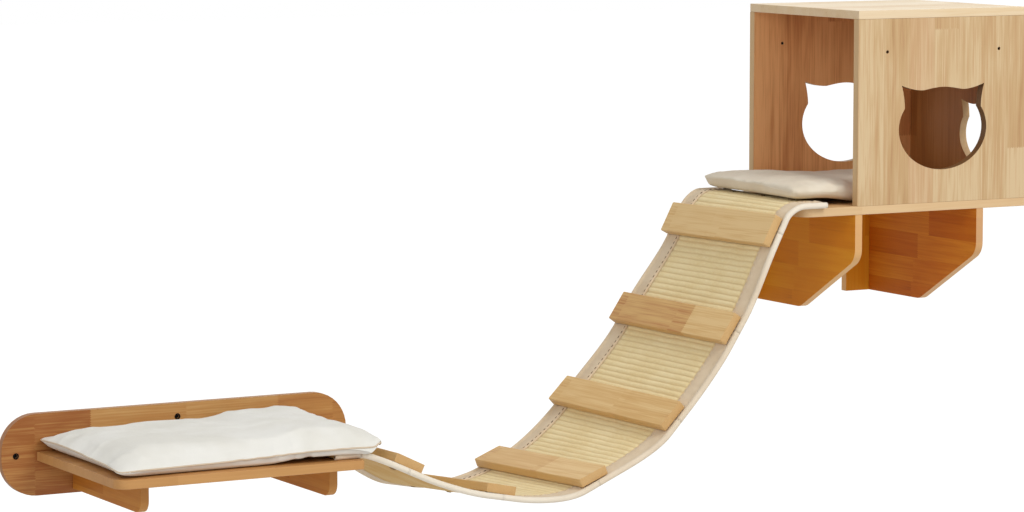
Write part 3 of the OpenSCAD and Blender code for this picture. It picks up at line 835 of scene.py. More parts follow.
def soft_edges_tree() -> NodeTree:
    """Tree that shades a mesh smooth except over its sharp edges.

    Returns:
        The tree.
    """
    tree = GeometryTree("soft_edges", {"Sharp Angle": "Float"})
    g = tree.graph
    smoothed = g.wire("GeometryNodeSetShadeSmooth", {"domain": "FACE"},
                      {"Geometry": tree.given("Geometry"), "Shade Smooth": True})
    angle = g.wire("GeometryNodeInputMeshEdgeAngle")
    sharp = g.wire("FunctionNodeCompare", {"data_type": "FLOAT", "operation": "GREATER_THAN"},
                   {0: angle, 1: tree.given("Sharp Angle")})
    return tree.close(g.wire("GeometryNodeSetShadeSmooth", {"domain": "EDGE"},
                             {"Geometry": smoothed, "Selection": sharp, "Shade Smooth": False}))


def rib_tree() -> NodeTree:
    """Tree that raises woven ribs on the upper side of a flat web.

    It reads each point's distance down the bridge, its place across, its upward direction and whether it
    lies on the upper side, and stores the rib's height for the finish.

    Returns:
        The tree.
    """
    tree = GeometryTree("woven_ribs", {"Pitch": "Float", "Height": "Float", "Wander": "Float",
                                       "Material": "Material"})
    g = tree.graph

    def read(name: str, kind: str = "FLOAT") -> Wire:
        """An attribute of the web."""
        return g.wire("GeometryNodeInputNamedAttribute", {"data_type": kind}, {"Name": name})
    run, across, upper = read(WebStrip.RUN), read(WebStrip.ACROSS), read(WebStrip.UPPER)
    drift = g.noise(g.combine(across, run, 0.0), WebStrip.DRIFTS) - 0.5
    along = run + drift * tree.given("Wander")
    place = ((along / tree.given("Pitch")).fraction() - 0.5).absolute() * 2.0
    crown = 1.0 - place.power(2.0)
    fade = across.absolute().ramp(WebStrip.HALF - 0.5 * MM, WebStrip.HALF - 4 * MM)
    height = crown * upper * fade
    stored = g.wire("GeometryNodeStoreNamedAttribute", {"data_type": "FLOAT", "domain": "POINT"},
                    {"Geometry": tree.given("Geometry"), "Name": WebStrip.HEIGHT, "Value": height})
    lift = read(WebStrip.UP, "FLOAT_VECTOR").scaled(height * tree.given("Height"))
    moved = g.wire("GeometryNodeSetPosition", None, {"Geometry": stored, "Offset": lift})
    return tree.close_real(moved)


def stitch_tree() -> NodeTree:
    """Tree that sews a running stitch along an edge line.

    Returns:
        The tree.
    """
    tree = GeometryTree("running_stitch", {"Pitch": "Float", "Length": "Float", "Thickness": "Float",
                                           "Material": "Material"})
    g = tree.graph
    line = g.wire("GeometryNodeMeshToCurve", None, {0: tree.given("Geometry")})
    spaced = g.wire("GeometryNodeResampleCurve", {"mode": "LENGTH"},
                    {"Curve": line, "Length": tree.given("Pitch")})
    shape = g.wire("GeometryNodeMeshUVSphere", None, {"Segments": 6, "Rings": 5, "Radius": 0.5})
    size = g.combine(tree.given("Thickness"), tree.given("Thickness"), tree.given("Length"))
    shape = g.wire("GeometryNodeTransform", None, {"Geometry": shape, "Scale": size})
    turned = g.wire("FunctionNodeAlignEulerToVector", {"axis": "Z"},
                    {"Vector": g.wire("GeometryNodeInputTangent")})
    copies = g.wire("GeometryNodeInstanceOnPoints", None,
                    {"Points": spaced, "Instance": shape, "Rotation": turned})
    return tree.close_real(copies)


def cord_tree() -> NodeTree:
    """Tree that lays a round cord along an edge line.

    Returns:
        The tree.
    """
    tree = GeometryTree("round_cord", {"Radius": "Float", "Material": "Material"})
    g = tree.graph
    line = g.wire("GeometryNodeMeshToCurve", None, {0: tree.given("Geometry")})
    ring = g.wire("GeometryNodeCurvePrimitiveCircle", None,
                  {"Resolution": 8, "Radius": tree.given("Radius")})
    tube = g.wire("GeometryNodeCurveToMesh", None,
                  {"Curve": line, "Profile Curve": ring, "Fill Caps": True})
    tube = g.wire("GeometryNodeSetShadeSmooth", {"domain": "FACE"}, {"Geometry": tube})
    return tree.close_real(tube)


def cap_tree() -> NodeTree:
    """Tree that puts a dished screw head at each point of a mesh, facing away from the wall.

    Returns:
        The tree.
    """
    tree = GeometryTree("screw_heads", {"Radius": "Float", "Depth": "Float", "Material": "Material"})
    g = tree.graph
    radius = tree.given("Radius")
    head = g.wire("GeometryNodeMeshCone", {"fill_type": "NGON"},
                  {"Vertices": 24, "Radius Top": radius * WallScrews.DISH, "Radius Bottom": radius,
                   "Depth": tree.given("Depth")}, out="Mesh")
    copies = g.wire("GeometryNodeInstanceOnPoints", None,
                    {"Points": tree.given("Geometry"), "Instance": head,
                     "Rotation": (math.radians(90), 0.0, 0.0)})
    return tree.close_real(copies)


def line_mesh(name: str, points: Sequence[Vector], closed: bool = False) -> Mesh:
    """A mesh of edges through points.

    Args:
        name: The mesh's name.
        points: The points, in order.
        closed: Whether the last one joins the first.

    Returns:
        The mesh.
    """
    mesh = bpy.data.meshes.new(name)
    edges = [(i, i + 1) for i in range(len(points) - 1)]
    if closed:
        edges.append((len(points) - 1, 0))
    mesh.from_pydata([tuple(p) for p in points], edges, [])
    return mesh


# ---------------------------------------------------------------- the bridge's course

@dataclass
class Pose:
    """Where the fabric's middle surface is, and which way it faces."""

    middle: Vector
    across: Vector
    along: Vector
    up: Vector

    def point(self, side: float, lift: float) -> Vector:
        """A point a distance across and above the middle."""
        return self.middle + self.across * side + self.up * lift


@dataclass
class Station(Pose):
    """A place where the fabric is held flat: a slat's seat, or the end of a shelf."""

    half: float
    body: str

    def at(self, run: float) -> Pose:
        """The fabric's pose a distance down the bridge from the middle."""
        return Pose(self.middle + self.along * run, self.across, self.along, self.up)


@dataclass
class Course:
    """The way of the bridge's fabric, from the upper shelf over the slats to the lower shelf.

    Each slat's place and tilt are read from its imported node. Between two flats the fabric's middle
    surface is one smooth curve. Distances along the fabric, or runs, start at the upper shelf's end.

    Attributes:
        frame: The loaded model.
        slats, slat_width, slat_thickness: The slats' number and size.
        slat_offset: How much nearer the wall than the bridge's middle they sit.
        roll: Diameter of the borders' rolled edge, which the slats lie on.
        seat_gap: Clearance between the fabric and what it lies against.
        lip_gap: How far beyond the upper shelf's end the fabric starts to bend.
        bridge_width, wall_gap, board_gap: The bridge's width, and its gaps to the wall and the wall board.
        lap: Length of fabric on each shelf.
        pull: How straight the fabric leaves a flat, as a share of the way to the next.
        stations, runs, spans: What is found from those: the flats, where their middles lie along the
            fabric, and the lengths of the curves between them.
    """

    MAP = "laid_flat"
    TINY = 1e-9

    frame: Mapping[str, Any]
    slats: int = 6
    slat_width: float = 0.060
    slat_thickness: float = 0.016
    slat_offset: float = 0.004
    roll: float = 0.011
    seat_gap: float = 0.0003
    lip_gap: float = 0.002
    bridge_width: float = 0.376
    wall_gap: float = 0.008
    board_gap: float = 0.004
    lap: float = 0.048
    pull: float = 0.86
    stations: list[Station] = field(default_factory=list)
    runs: list[float] = field(default_factory=list)
    spans: list[list[tuple[float, float]]] = field(default_factory=list)

    def __post_init__(self) -> None:
        """Finds the stations and measures the fabric between them."""
        seat = self.roll / 2 + self.seat_gap
        upper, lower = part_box("upper_shelf"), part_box("lower_shelf")
        half = self.bridge_width / 2
        top = Vector((upper[0][0] - self.lip_gap, -self.wall_gap - half, upper[1][2] + seat))
        foot = Vector((lower[1][0], -BOARD - self.board_gap - half, lower[1][2] + seat))
        self.stations = [Station(top, -Y, -X, Z, 0.0, "root"),
                         *(self._slat_station(k, seat) for k in range(1, self.slats + 1)),
                         Station(foot, -Y, -X, Z, 0.0, "root")]
        self.runs = [0.0]
        for a, b in zip(self.stations, self.stations[1:]):
            self.spans.append(self._measure(a, b))
            self.runs.append(self.runs[-1] + a.half + self.spans[-1][-1][1] + b.half)

    def _slat_station(self, k: int, seat: float) -> Station:
        """Reads a slat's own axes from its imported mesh.

        Args:
            k: The slat's number.
            seat: Height of its underside above the fabric's middle.

        Returns:
            The fabric's station below the slat.
        """
        points = [v.co.copy() for v in self.frame["nodes"][f"slat_{k}"].data.vertices]
        centre = middle_of(f"slat_{k}")
        ends = sorted(points, key=lambda p: p.y)
        count = len(points) // 2
        across = (sum(ends[:count], Vector()) - sum(ends[count:], Vector())).normalized()
        flat = [(p - centre) - across * (p - centre).dot(across) for p in points]
        xx, xz, zz = (sum(f[i] * f[j] for f in flat) for i, j in ((0, 0), (0, 2), (2, 2)))
        angle = 0.5 * math.atan2(2 * xz, xx - zz)
        along = Vector((-math.cos(angle), 0.0, -math.sin(angle)))
        along = (along - across * along.dot(across)).normalized()
        up = along.cross(across)
        if up.z < 0:
            up = -up
        reach = [[(p - centre).dot(v) for p in points] for v in (across, along, up)]
        centre += sum((v * (max(r) + min(r)) / 2 for v, r in zip((across, along, up), reach)), Vector())
        middle = centre - up * (seat + self.slat_thickness / 2) + across * self.slat_offset
        return Station(middle, across, along, up, self.slat_width / 2, f"section_{k}")

    def _hermite(self, a: Station, b: Station, t: float) -> Pose:
        """The fabric's pose at a share of the way between two flats, on a cubic curve.

        Args:
            a, b: The two flats.
            t: The share, from 0 to 1.

        Returns:
            The pose.
        """
        p, q = a.middle + a.along * a.half, b.middle - b.along * b.half
        reach = (q - p).length * self.pull
        leave, arrive = a.along * reach, b.along * reach
        middle = ((2 * t ** 3 - 3 * t * t + 1) * p + (t ** 3 - 2 * t * t + t) * leave
                  + (3 * t * t - 2 * t ** 3) * q + (t ** 3 - t * t) * arrive)
        slope = ((6 * t * t - 6 * t) * (p - q) + (3 * t * t - 4 * t + 1) * leave
                 + (3 * t * t - 2 * t) * arrive)
        across = a.across.lerp(b.across, smooth(t)).normalized()
        along = (slope - across * slope.dot(across)).normalized()
        return Pose(middle, across, along, along.cross(across))

    def _measure(self, a: Station, b: Station, steps: int = 80) -> list[tuple[float, float]]:
        """Lists shares and lengths along the free fabric between two flats.

        Args:
            a, b: The two flats.
            steps: How many chords measure the curve.

        Returns:
            Each share with the length up to it.
        """
        table, length, last = [(0.0, 0.0)], 0.0, self._hermite(a, b, 0.0).middle
        for i in range(1, steps + 1):
            here = self._hermite(a, b, i / steps).middle
            length += (here - last).length
            table.append((i / steps, length))
            last = here
        return table

    def pose(self, run: float) -> Pose:
        """The fabric's pose at a distance down the bridge from the upper shelf's end.

        Args:
            run: The distance, which may lie on either shelf.

        Returns:
            The pose.
        """
        if run <= 0:
            return self.stations[0].at(run)
        if run >= self.runs[-1]:
            return self.stations[-1].at(run - self.runs[-1])
        i = max(k for k in range(len(self.runs)) if self.runs[k] <= run)
        a, b = self.stations[i], self.stations[i + 1]
        past = run - self.runs[i]
        if past <= a.half:
            return a.at(past)
        if self.runs[i + 1] - run <= b.half:
            return b.at(run - self.runs[i + 1])
        wanted = past - a.half
        table = self.spans[i]
        k = next(n for n in range(1, len(table)) if table[n][1] >= wanted - self.TINY)
        (t0, l0), (t1, l1) = table[k - 1], table[k]
        return self._hermite(a, b, t0 + (t1 - t0) * (wanted - l0) / max(l1 - l0, self.TINY))


@dataclass
class Leg:
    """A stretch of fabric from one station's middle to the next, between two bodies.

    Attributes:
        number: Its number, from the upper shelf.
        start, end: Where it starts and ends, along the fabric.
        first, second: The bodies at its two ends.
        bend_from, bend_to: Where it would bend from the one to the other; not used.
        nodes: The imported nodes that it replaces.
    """

    number: int
    start: float
    end: float
    first: str
    second: str
    bend_from: Vector
    bend_to: Vector
    nodes: tuple[str, ...]

    def name(self, part: str) -> str:
        """The name of one of its pieces."""
        return f"bridge_{part}_{self.number}"

    def stops(self, step: float, inset: float = 0.0) -> list[float]:
        """Even stops along it, near a step apart.

        Args:
            step: The wanted distance between two stops.
            inset: How far from its ends the first and the last stop lie.

        Returns:
            Their runs.
        """
        start, end = self.start + inset, self.end - inset
        count = max(2, round((end - start) / step))
        return [start + (end - start) * r / count for r in range(count + 1)]

    def follow(self, piece: Object) -> None:
        """Attaches a piece of this stretch to its body where both its ends lie on the same one; else bakes
        its place into its mesh.

        Args:
            piece: The piece.
        """
        if self.first == self.second:
            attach(piece, self.first)
        else:
            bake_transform(piece)


# ---------------------------------------------------------------- the bridge's fabric

@dataclass
class WebStrip:
    """The ribbed web in the middle of the bridge.

    Attributes:
        course, material, tree: The fabric's course, its finish, and the tree that raises its ribs.
        thickness: Its thickness between the ribs.
        pitch, height, wander: Distance from rib to rib, their height, and how far they stray.
        rows_per_rib, columns: Fineness of its mesh.
    """

    RUN, ACROSS, UP, UPPER, HEIGHT = "run", "across", "up", "upper", "rib_height"
    HALF = 145.2 * MM
    DRIFTS = 27.0  # to the metre

    course: Course
    material: Material
    tree: NodeTree
    thickness: float = 0.005
    pitch: float = 0.0116
    height: float = 0.0021
    wander: float = 0.0042
    rows_per_rib: int = 8
    columns: int = 28

    def build(self, leg: Leg) -> Object:
        """Builds the web of one stretch, with its ribs raised.

        Args:
            leg: The stretch.

        Returns:
            The piece.
        """
        verts: list[tuple[float, float, float]] = []
        data: dict[str, list[float]] = {k: [] for k in (self.RUN, self.ACROSS, self.UPPER)}
        ups: list[float] = []
        sides = [self.HALF * (2 * i / self.columns - 1) for i in range(self.columns + 1)]
        stops = leg.stops(self.pitch / self.rows_per_rib)
        for run in stops:
            pose = self.course.pose(run)
            for upper in (1.0, 0.0):
                for side in sides if upper else reversed(sides):
                    verts.append(tuple(pose.point(side, self.thickness * (upper - 0.5))))
                    data[self.RUN].append(run)
                    data[self.ACROSS].append(side)
                    data[self.UPPER].append(upper)
                    ups.extend(pose.up)
        ring, last = 2 * (self.columns + 1), len(verts) - 2 * (self.columns + 1)
        caps = [(base + c, base + c + 1, base + ring - 2 - c, base + ring - 1 - c)[::order]
                for base, order in ((0, -1), (last, 1)) for c in range(self.columns)]
        mesh = strip_mesh(leg.name("web"), verts, tube_faces(0, len(stops), ring), caps,
                          data[self.ACROSS], data[self.RUN])
        for key, values in data.items():
            mesh.attributes.new(key, "FLOAT", "POINT").data.foreach_set("value", values)
        mesh.attributes.new(self.UP, "FLOAT_VECTOR", "POINT").data.foreach_set("vector", ups)
        piece = new_piece(leg.name("web"), mesh, self.material)
        add_nodes(piece, self.tree, {"Pitch": self.pitch, "Height": self.height, "Wander": self.wander,
                                     "Material": self.material})
        return made_plain(piece)


def tube_faces(base: int, rows: int, ring: int) -> list[tuple[int, ...]]:
    """The side faces of a tube of rings of points, the first of which has the number base.

    Args:
        base: The number of the first point.
        rows: How many rings there are.
        ring: How many points a ring has.

    Returns:
        The faces.
    """
    return [(low + c, low + (c + 1) % ring, low + ring + (c + 1) % ring, low + ring + c)
            for low in range(base, base + (rows - 1) * ring, ring) for c in range(ring)]


def strip_mesh(name: str, verts: Sequence[tuple[float, float, float]], sides: list[tuple[int, ...]],
               caps: list[tuple[int, ...]], across: Sequence[float], runs: Sequence[float]) -> Mesh:
    """Makes a closed strip of fabric, smooth along its sides, with a map of the flat cloth in metres.

    Args:
        name: The mesh's name.
        verts: Its points.
        sides, caps: Its faces along it, and the ones that close its ends.
        across, runs: Each point's place on the flat cloth.

    Returns:
        The mesh, with its faces turned outwards.
    """
    mesh = bpy.data.meshes.new(name)
    mesh.from_pydata(verts, [], sides + caps)
    layer = mesh.uv_layers.new(name=Course.MAP)
    for loop in mesh.loops:
        layer.data[loop.index].uv = (across[loop.vertex_index], runs[loop.vertex_index])
    work = bmesh.new()
    work.from_mesh(mesh)
    bmesh.ops.recalc_face_normals(work, faces=work.faces)
    work.to_mesh(mesh)
    work.free()
    mesh.polygons.foreach_set("use_smooth", [i < len(sides) for i in range(len(mesh.polygons))])
    return mesh


@dataclass
class BorderStrip:
    """The bound borders: a tape folded over the web's edge, with a cord rolled into its outer edge.

    Attributes:
        course, material, tree: The fabric's course, the borders' finish, and the tree that sews.
        inner, outer: How far from the bridge's middle a border starts and ends.
        thickness, tape, roll: The web's thickness, the tape's, and the rolled edge's diameter.
        step: Length of its mesh's faces.
        pucker, pucker_pitch: Height of its puckers, and their distance.
        stitch_pitch, stitch_length, stitch_thickness, stitch_in: The stitches' size and place.
        draw, draw_length, draw_end: How far the front border draws in towards the lower shelf, over
            which length, and how far before the shelf it starts to.
    """

    WIDTH = 0.045
    TAPE_POINTS = range(1, 5)  # the outline's points that pucker
    CORD_POINTS, CORD_TURN = 15, 140  # the outline's points round the cord, and degrees to either side

    course: Course
    material: Material
    tree: NodeTree
    inner: float = 0.1435
    outer: float = 0.188
    thickness: float = 0.005
    tape: float = 0.0026
    roll: float = 0.011
    step: float = 0.006
    pucker: float = 0.0005
    pucker_pitch: float = 0.017
    stitch_pitch: float = 0.0105
    stitch_length: float = 0.0062
    stitch_thickness: float = 0.0017
    stitch_in: float = 0.004
    draw: float = 0.036
    draw_length: float = 0.034
    draw_end: float = 0.050

    def drawn_in(self, run: float, sign: int) -> float:
        """How far a border draws in, where the front one passes below the cushion.

        Args:
            run: How far along the fabric.
            sign: 1 for the front border, -1 for the other.

        Returns:
            The distance.
        """
        start = self.course.runs[-1] - self.draw_end
        return self.draw * ease(run, start, start + self.draw_length) if sign > 0 else 0.0

    def section(self, drawn_in: float) -> list[tuple[float, float]]:
        """Outline of one border, as places across and heights.

        Args:
            drawn_in: How far its outer edge is drawn in towards the web.

        Returns:
            The outline's points.
        """
        r = self.roll / 2
        centre = self.outer - r - drawn_in
        slack = 1.0 - drawn_in / self.WIDTH
        half = self.thickness / 2
        top, neck = half + self.tape, centre - r - 0.002 * slack
        band = [(self.inner, top - 0.0012), (self.inner + 0.0012, top),
                (self.inner + 0.010 * slack, top + 0.0002), (self.inner + 0.022 * slack, top - 0.0004),
                (neck, half + 0.0002)]
        shares = [1 - 2 * i / (self.CORD_POINTS - 1) for i in range(self.CORD_POINTS)]
        turn = [(centre + r * math.cos(a), r * math.sin(a))
                for a in (math.radians(self.CORD_TURN * share) for share in shares)]
        under = [(neck, -half), (self.inner + 0.018 * slack, -half - 0.0002), (self.inner, -half - 0.0006)]
        return band + turn + under

    def build(self, leg: Leg) -> Object:
        """Builds both borders of one stretch.

        Args:
            leg: The stretch.

        Returns:
            The piece.
        """
        verts, faces, caps, across, runs = [], [], [], [], []
        flat, stops = self.section(0.0), leg.stops(self.step)
        k = len(flat)
        for sign in (1, -1):
            base = len(verts)
            for run in stops:
                pose = self.course.pose(run)
                swell = self.pucker * math.sin(run * TURN / self.pucker_pitch + sign)
                for n, (side, lift) in enumerate(self.section(self.drawn_in(run, sign))):
                    soft = swell if n in self.TAPE_POINTS else 0.0
                    verts.append(tuple(pose.point(sign * side, lift + soft)))
                    across.append(sign * flat[n][0])
                    runs.append(run)
            faces += tube_faces(base, len(stops), k)
            caps += [tuple(range(base, base + k)), tuple(range(len(verts) - 1, len(verts) - 1 - k, -1))]
        name = leg.name("border")
        return new_piece(name, strip_mesh(name, verts, faces, caps, across, runs), self.material)

    def sew(self, leg: Leg, sign: int, thread: Material) -> Object:
        """Sews the running stitches of one border of one stretch.

        Args:
            leg: The stretch.
            sign: 1 for the front border, -1 for the one at the wall.
            thread: The thread's material.

        Returns:
            The piece.
        """
        lift = self.thickness / 2 + self.tape + self.course.seat_gap
        points = [self.course.pose(run).point(sign * (self.inner + self.stitch_in), lift)
                  for run in leg.stops(self.step, self.stitch_length / 2)]
        name = leg.name("front_stitches" if sign > 0 else "wall_stitches")
        piece = new_piece(name, line_mesh(name, points), thread)
        add_nodes(piece, self.tree, {"Pitch": self.stitch_pitch, "Length": self.stitch_length,
                                     "Thickness": self.stitch_thickness, "Material": thread})
        return made_plain(piece)


@dataclass
class Bridge:
    """The hanging bridge: its fabric in stretches, its borders and its sewing.

    Attributes:
        course: The fabric's course.
        finish_web, finish_border: The finishes of its parts.
        threads: The front border's thread, as 1, and the wall border's, as -1.
        foot_gap: The gap where the lower shelf's end starts.
        lip_bend: How far past the upper shelf's end the first stretch's bend point lies.
    """

    course: Course
    finish_web: Material
    finish_border: Material
    threads: Mapping[int, Material]
    foot_gap: float = 0.0012
    lip_bend: float = 0.001

    def legs(self) -> list[Leg]:
        """The stretches from the upper shelf's flat end to the lower shelf's.

        Returns:
            The stretches in order.
        """
        c = self.course
        made = []
        for i, (a, b) in enumerate(zip(c.stations, c.stations[1:])):
            last = i == c.slats
            section = min(i + 1, c.slats)
            bend_from = c.pose(c.runs[i] + a.half + (0.0 if i else self.lip_bend)).middle
            bend_to = bend_from if last else c.pose(c.runs[i + 1] - b.half).middle
            made.append(Leg(i, c.runs[i] if i else -c.lap, c.runs[i + 1] - (self.foot_gap if last else 0.0),
                            a.body, a.body if last else b.body, bend_from, bend_to,
                            (*(() if i else ("bridge_top_end",)), f"web_{section}", f"border_{section}")))
        made.append(Leg(len(made), c.runs[-1], c.runs[-1] + c.lap, "root", "root", Vector(), Vector(),
                        ("bridge_bottom_end",)))
        return made

    def build(self) -> None:
        web = WebStrip(self.course, self.finish_web, rib_tree())
        border = BorderStrip(self.course, self.finish_border, stitch_tree())
        for leg in self.legs():
            pieces = [web.build(leg), border.build(leg)]
            pieces += [border.sew(leg, sign, thread) for sign, thread in self.threads.items()]
            for piece in pieces:
                leg.follow(piece)
                log.info("%s: %d faces", piece.name, len(piece.data.polygons))
            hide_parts(*[n for n in leg.nodes if "border" not in n])
            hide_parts(*[n for n in leg.nodes if "web" not in n])
            length = leg.end - leg.start
            rests = [f"slat_{leg.number}"] if 0 < leg.number < self.course.slats else (
                ["lower_shelf"] if leg.number else ["upper_shelf"])
            2 * WebStrip.HALF
            2 * (border.outer - border.inner)


# ---------------------------------------------------------------- cushions

@dataclass
class Cushion:
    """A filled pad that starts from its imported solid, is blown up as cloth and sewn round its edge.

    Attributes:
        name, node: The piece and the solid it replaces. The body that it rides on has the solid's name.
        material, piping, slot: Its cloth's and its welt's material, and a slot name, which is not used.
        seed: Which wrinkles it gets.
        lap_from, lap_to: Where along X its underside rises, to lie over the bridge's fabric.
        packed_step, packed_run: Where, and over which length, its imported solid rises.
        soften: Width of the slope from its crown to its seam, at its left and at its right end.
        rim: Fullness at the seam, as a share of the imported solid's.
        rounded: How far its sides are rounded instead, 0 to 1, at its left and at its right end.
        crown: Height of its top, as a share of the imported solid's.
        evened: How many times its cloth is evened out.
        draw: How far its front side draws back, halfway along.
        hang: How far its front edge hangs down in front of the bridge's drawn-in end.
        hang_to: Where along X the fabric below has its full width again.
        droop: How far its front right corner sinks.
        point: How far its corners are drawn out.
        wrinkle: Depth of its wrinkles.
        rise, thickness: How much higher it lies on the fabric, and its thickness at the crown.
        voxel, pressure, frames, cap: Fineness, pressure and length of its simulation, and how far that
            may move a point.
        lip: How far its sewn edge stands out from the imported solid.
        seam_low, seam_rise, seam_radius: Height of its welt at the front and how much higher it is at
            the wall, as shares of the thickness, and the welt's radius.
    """

    FULL_POINT = 6.5 * MM
    HANG_FADE = 16 * MM  # length over which the hanging front edge ends
    STIFF = 12 * MM  # height above its underside up to which it keeps some of its place
    CORNER_FROM = (0.72, 0.66)  # shares of half its length and of half its width
    LONGER = 1.35  # its length, as a share of its width
    CREASE_AT, CREASE_BAND = 0.06, 0.075  # from its edge, as shares of its width
    WELT_POINTS, WELT_LEVELS, WELT_STEP, WELT_EVENED = 260, 14, 0.04, 9

    name: str
    node: str
    material: Material
    piping: Material
    slot: str
    seed: float
    lap_from: float
    lap_to: float
    packed_step: float
    packed_run: float = 0.024
    soften: tuple[float, float] = (0.07, 0.07)
    rim: float = 0.62
    rounded: tuple[float, float] = (0.0, 0.0)
    crown: float = 1.0
    evened: int = 0
    draw: float = 0.0
    hang: float = 0.0
    hang_to: float = 0.0
    droop: float = 0.0
    point: float = 0.0065
    wrinkle: float = 0.003
    rise: float = 0.0132
    thickness: float = 0.041
    voxel: float = 0.0055
    pressure: float = 4.0
    frames: int = 20
    cap: float = 0.006
    lip: float = 0.003
    seam_low: float = 0.34
    seam_rise: float = 0.28
    seam_radius: float = 0.0016
    low: Vector = field(init=False)
    high: Vector = field(init=False)
    centre: Vector = field(init=False)
    half: Vector = field(init=False)

    def build(self, frame: Mapping[str, Any]) -> None:
        """Builds the pad and its seam.

        Args:
            frame: The loaded model.
        """
        self.low, self.high = (Vector(c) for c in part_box(self.node))
        self.centre, self.half = (self.low + self.high) / 2, (self.high - self.low) / 2
        piece = self._start(frame["nodes"][self.node])
        before = [(v.co.copy(), v.normal.copy()) for v in piece.data.vertices]
        self._blow_up(piece)
        self._hold(piece, before)
        self._shape(piece)
        if self.evened:
            even = piece.modifiers.new("evened", "SMOOTH")
            even.factor, even.iterations = 0.5, self.evened
            made_plain(piece)
        self._wrinkle(piece)
        divide = piece.modifiers.new("divide", "SUBSURF")
        divide.levels = divide.render_levels = 1
        made_plain(piece)
        piece.data.materials.clear()
        piece.data.materials.append(self.material)
        piece.data.polygons.foreach_set("use_smooth", [True] * len(piece.data.polygons))
        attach(piece, self.node)
        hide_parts(self.node)
        seam = self._seam(piece)
        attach(seam, self.node)
        log.info("%s: %d faces", piece.name, len(piece.data.polygons))

    def _start(self, node: Object) -> Object:
        """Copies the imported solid, merges it, fills it out to its sewn lip and remeshes it evenly.

        Args:
            node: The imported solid.

        Returns:
            The piece.
        """
        mesh = node.data.copy()
        work = bmesh.new()
        work.from_mesh(mesh)
        bmesh.ops.remove_doubles(work, verts=work.verts, dist=WELD)
        for v in work.verts:
            v.co.z += self._lifted(v.co.x) - self._packed_lift(v.co.x)
            away = v.co - self.centre
            for axis in (0, 1):
                v.co[axis] += self.lip * max(-1.0, min(1.0, away[axis] / (self.half[axis] - self.lip)))
        work.to_mesh(mesh)
        work.free()
        piece = new_piece(self.name, mesh, self.material)
        remesh = piece.modifiers.new("even", "REMESH")
        remesh.mode, remesh.voxel_size = "VOXEL", self.voxel
        return made_plain(piece)

    def _blow_up(self, piece: Object) -> None:
        """Fills the pad by a short cloth simulation.

        Args:
            piece: The pad.
        """
        cloth = piece.modifiers.new("filling", "CLOTH")
        for name, value in {
                "quality": 4, "mass": 0.3, "use_pressure": True, "uniform_pressure_force": self.pressure,
                "shrink_min": -0.012, "tension_stiffness": 12, "compression_stiffness": 12,
                "bending_stiffness": 0.4}.items():
            setattr(cloth.settings, name, value)
        cloth.settings.effector_weights.gravity = 0
        cloth.collision_settings.use_collision = False
        scene = bpy.context.scene
        for number in range(1, self.frames + 1):
            scene.frame_set(number)
        made_plain(piece)
        scene.frame_set(1)

    def _hold(self, piece: Object, before: Sequence[tuple[Vector, Vector]]) -> None:
        """Caps how far each point has moved, and keeps the outline and the underside in place.

        Args:
            piece: The pad.
            before: Each point's place and normal before the simulation.
        """
        for v, (old, normal) in zip(piece.data.vertices, before):
            move = v.co - old
            if move.length > self.cap:
                move *= self.cap / move.length
            for axis in (0, 1):
                if move[axis] * (old[axis] - self.centre[axis]) < 0 or abs(normal[axis]) > 0.4:
                    move[axis] *= 0.1
            if normal.z < -0.5:
                move.z = max(move.z, 0.0) * 0.3
            v.co = old + move

    def _lifted(self, x: float) -> float:
        """How much higher the pad lies at x than on the bare shelf."""
        return self.rise * ease(x, self.lap_from, self.lap_to)

    def _hung(self, x: float, w: float) -> float:
        """How far its front edge hangs down there, where the bridge's end lies behind it.

        Args:
            x: The place along X.
            w: The place from the front, at -1, to the wall, at 1.

        Returns:
            The distance.
        """
        share = ease(-w, 0.90, 0.99) * ease(x, self.hang_to, self.hang_to - self.HANG_FADE)
        return share * self.hang * self._lifted(x) / self.rise

    def _packed_lift(self, x: float) -> float:
        """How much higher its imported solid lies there, where it rises over a short stretch.

        Args:
            x: The place along X.

        Returns:
            The height.
        """
        side = 1 if self.lap_to > self.lap_from else -1
        return self.rise * smooth(0.5 + side * (x - self.packed_step) / self.packed_run)

    def _shape(self, piece: Object) -> None:
        """Draws out the corners and slopes the top down to the seam.

        A point's place is u and w, from -1 to 1 along X and from the front to the wall.

        Args:
            piece: The pad.
        """
        for v in piece.data.vertices:
            u, w = ((v.co[axis] - self.centre[axis]) / self.half[axis] for axis in (0, 1))
            lift = self._lifted(v.co.x)
            base = self.low.z + lift
            seam = base + self._seam_height(w) * (self.thickness - lift * 0.3)
            above = v.co.z - seam
            reach = ease(abs(u), self.CORNER_FROM[0], 1.0) * ease(abs(w), self.CORNER_FROM[1], 1.0)
            corner = min(1.0, self.point / self.FULL_POINT) * reach
            soften, rounded = (a + (b - a) * ease(u, -1.0, 1.0) for a, b in (self.soften, self.rounded))
            edge = min(self.half.x * (1 - abs(u)), self.half.y * (1 - abs(w)))
            t = max(0.0, min(1.0, edge / soften))
            turn = math.sqrt(1 - (1 - t) ** 2)
            share = (1 - smooth(t)) * rounded
            if above > 0:
                flat = above * (self.rim + (1 - self.rim) * smooth(t)) * (1 - 0.45 * corner)
                turned = max(flat, (self.high.z - self.rise * 0.7 - seam + lift) * turn)
                v.co.z = seam + (flat + (turned - flat) * share) * self.crown
            else:
                flat = above * (1 - 0.25 * corner)
                v.co.z = seam + flat + (min(flat, (base - seam) * turn) - flat) * share
            v.co.x += math.copysign(self.point * reach, u)
            v.co.y += math.copysign(self.point * reach, w) + self.draw * smooth(-w) * (1 - u * u)
            loose = ease(v.co.z, base, base + self.STIFF)
            front = self._hung(v.co.x, w)
            v.co.z -= front + self.droop * ease(u, 0.7, 1.0) * ease(-w, 0.6, 0.9) * loose
            v.co.y -= front * 0.5

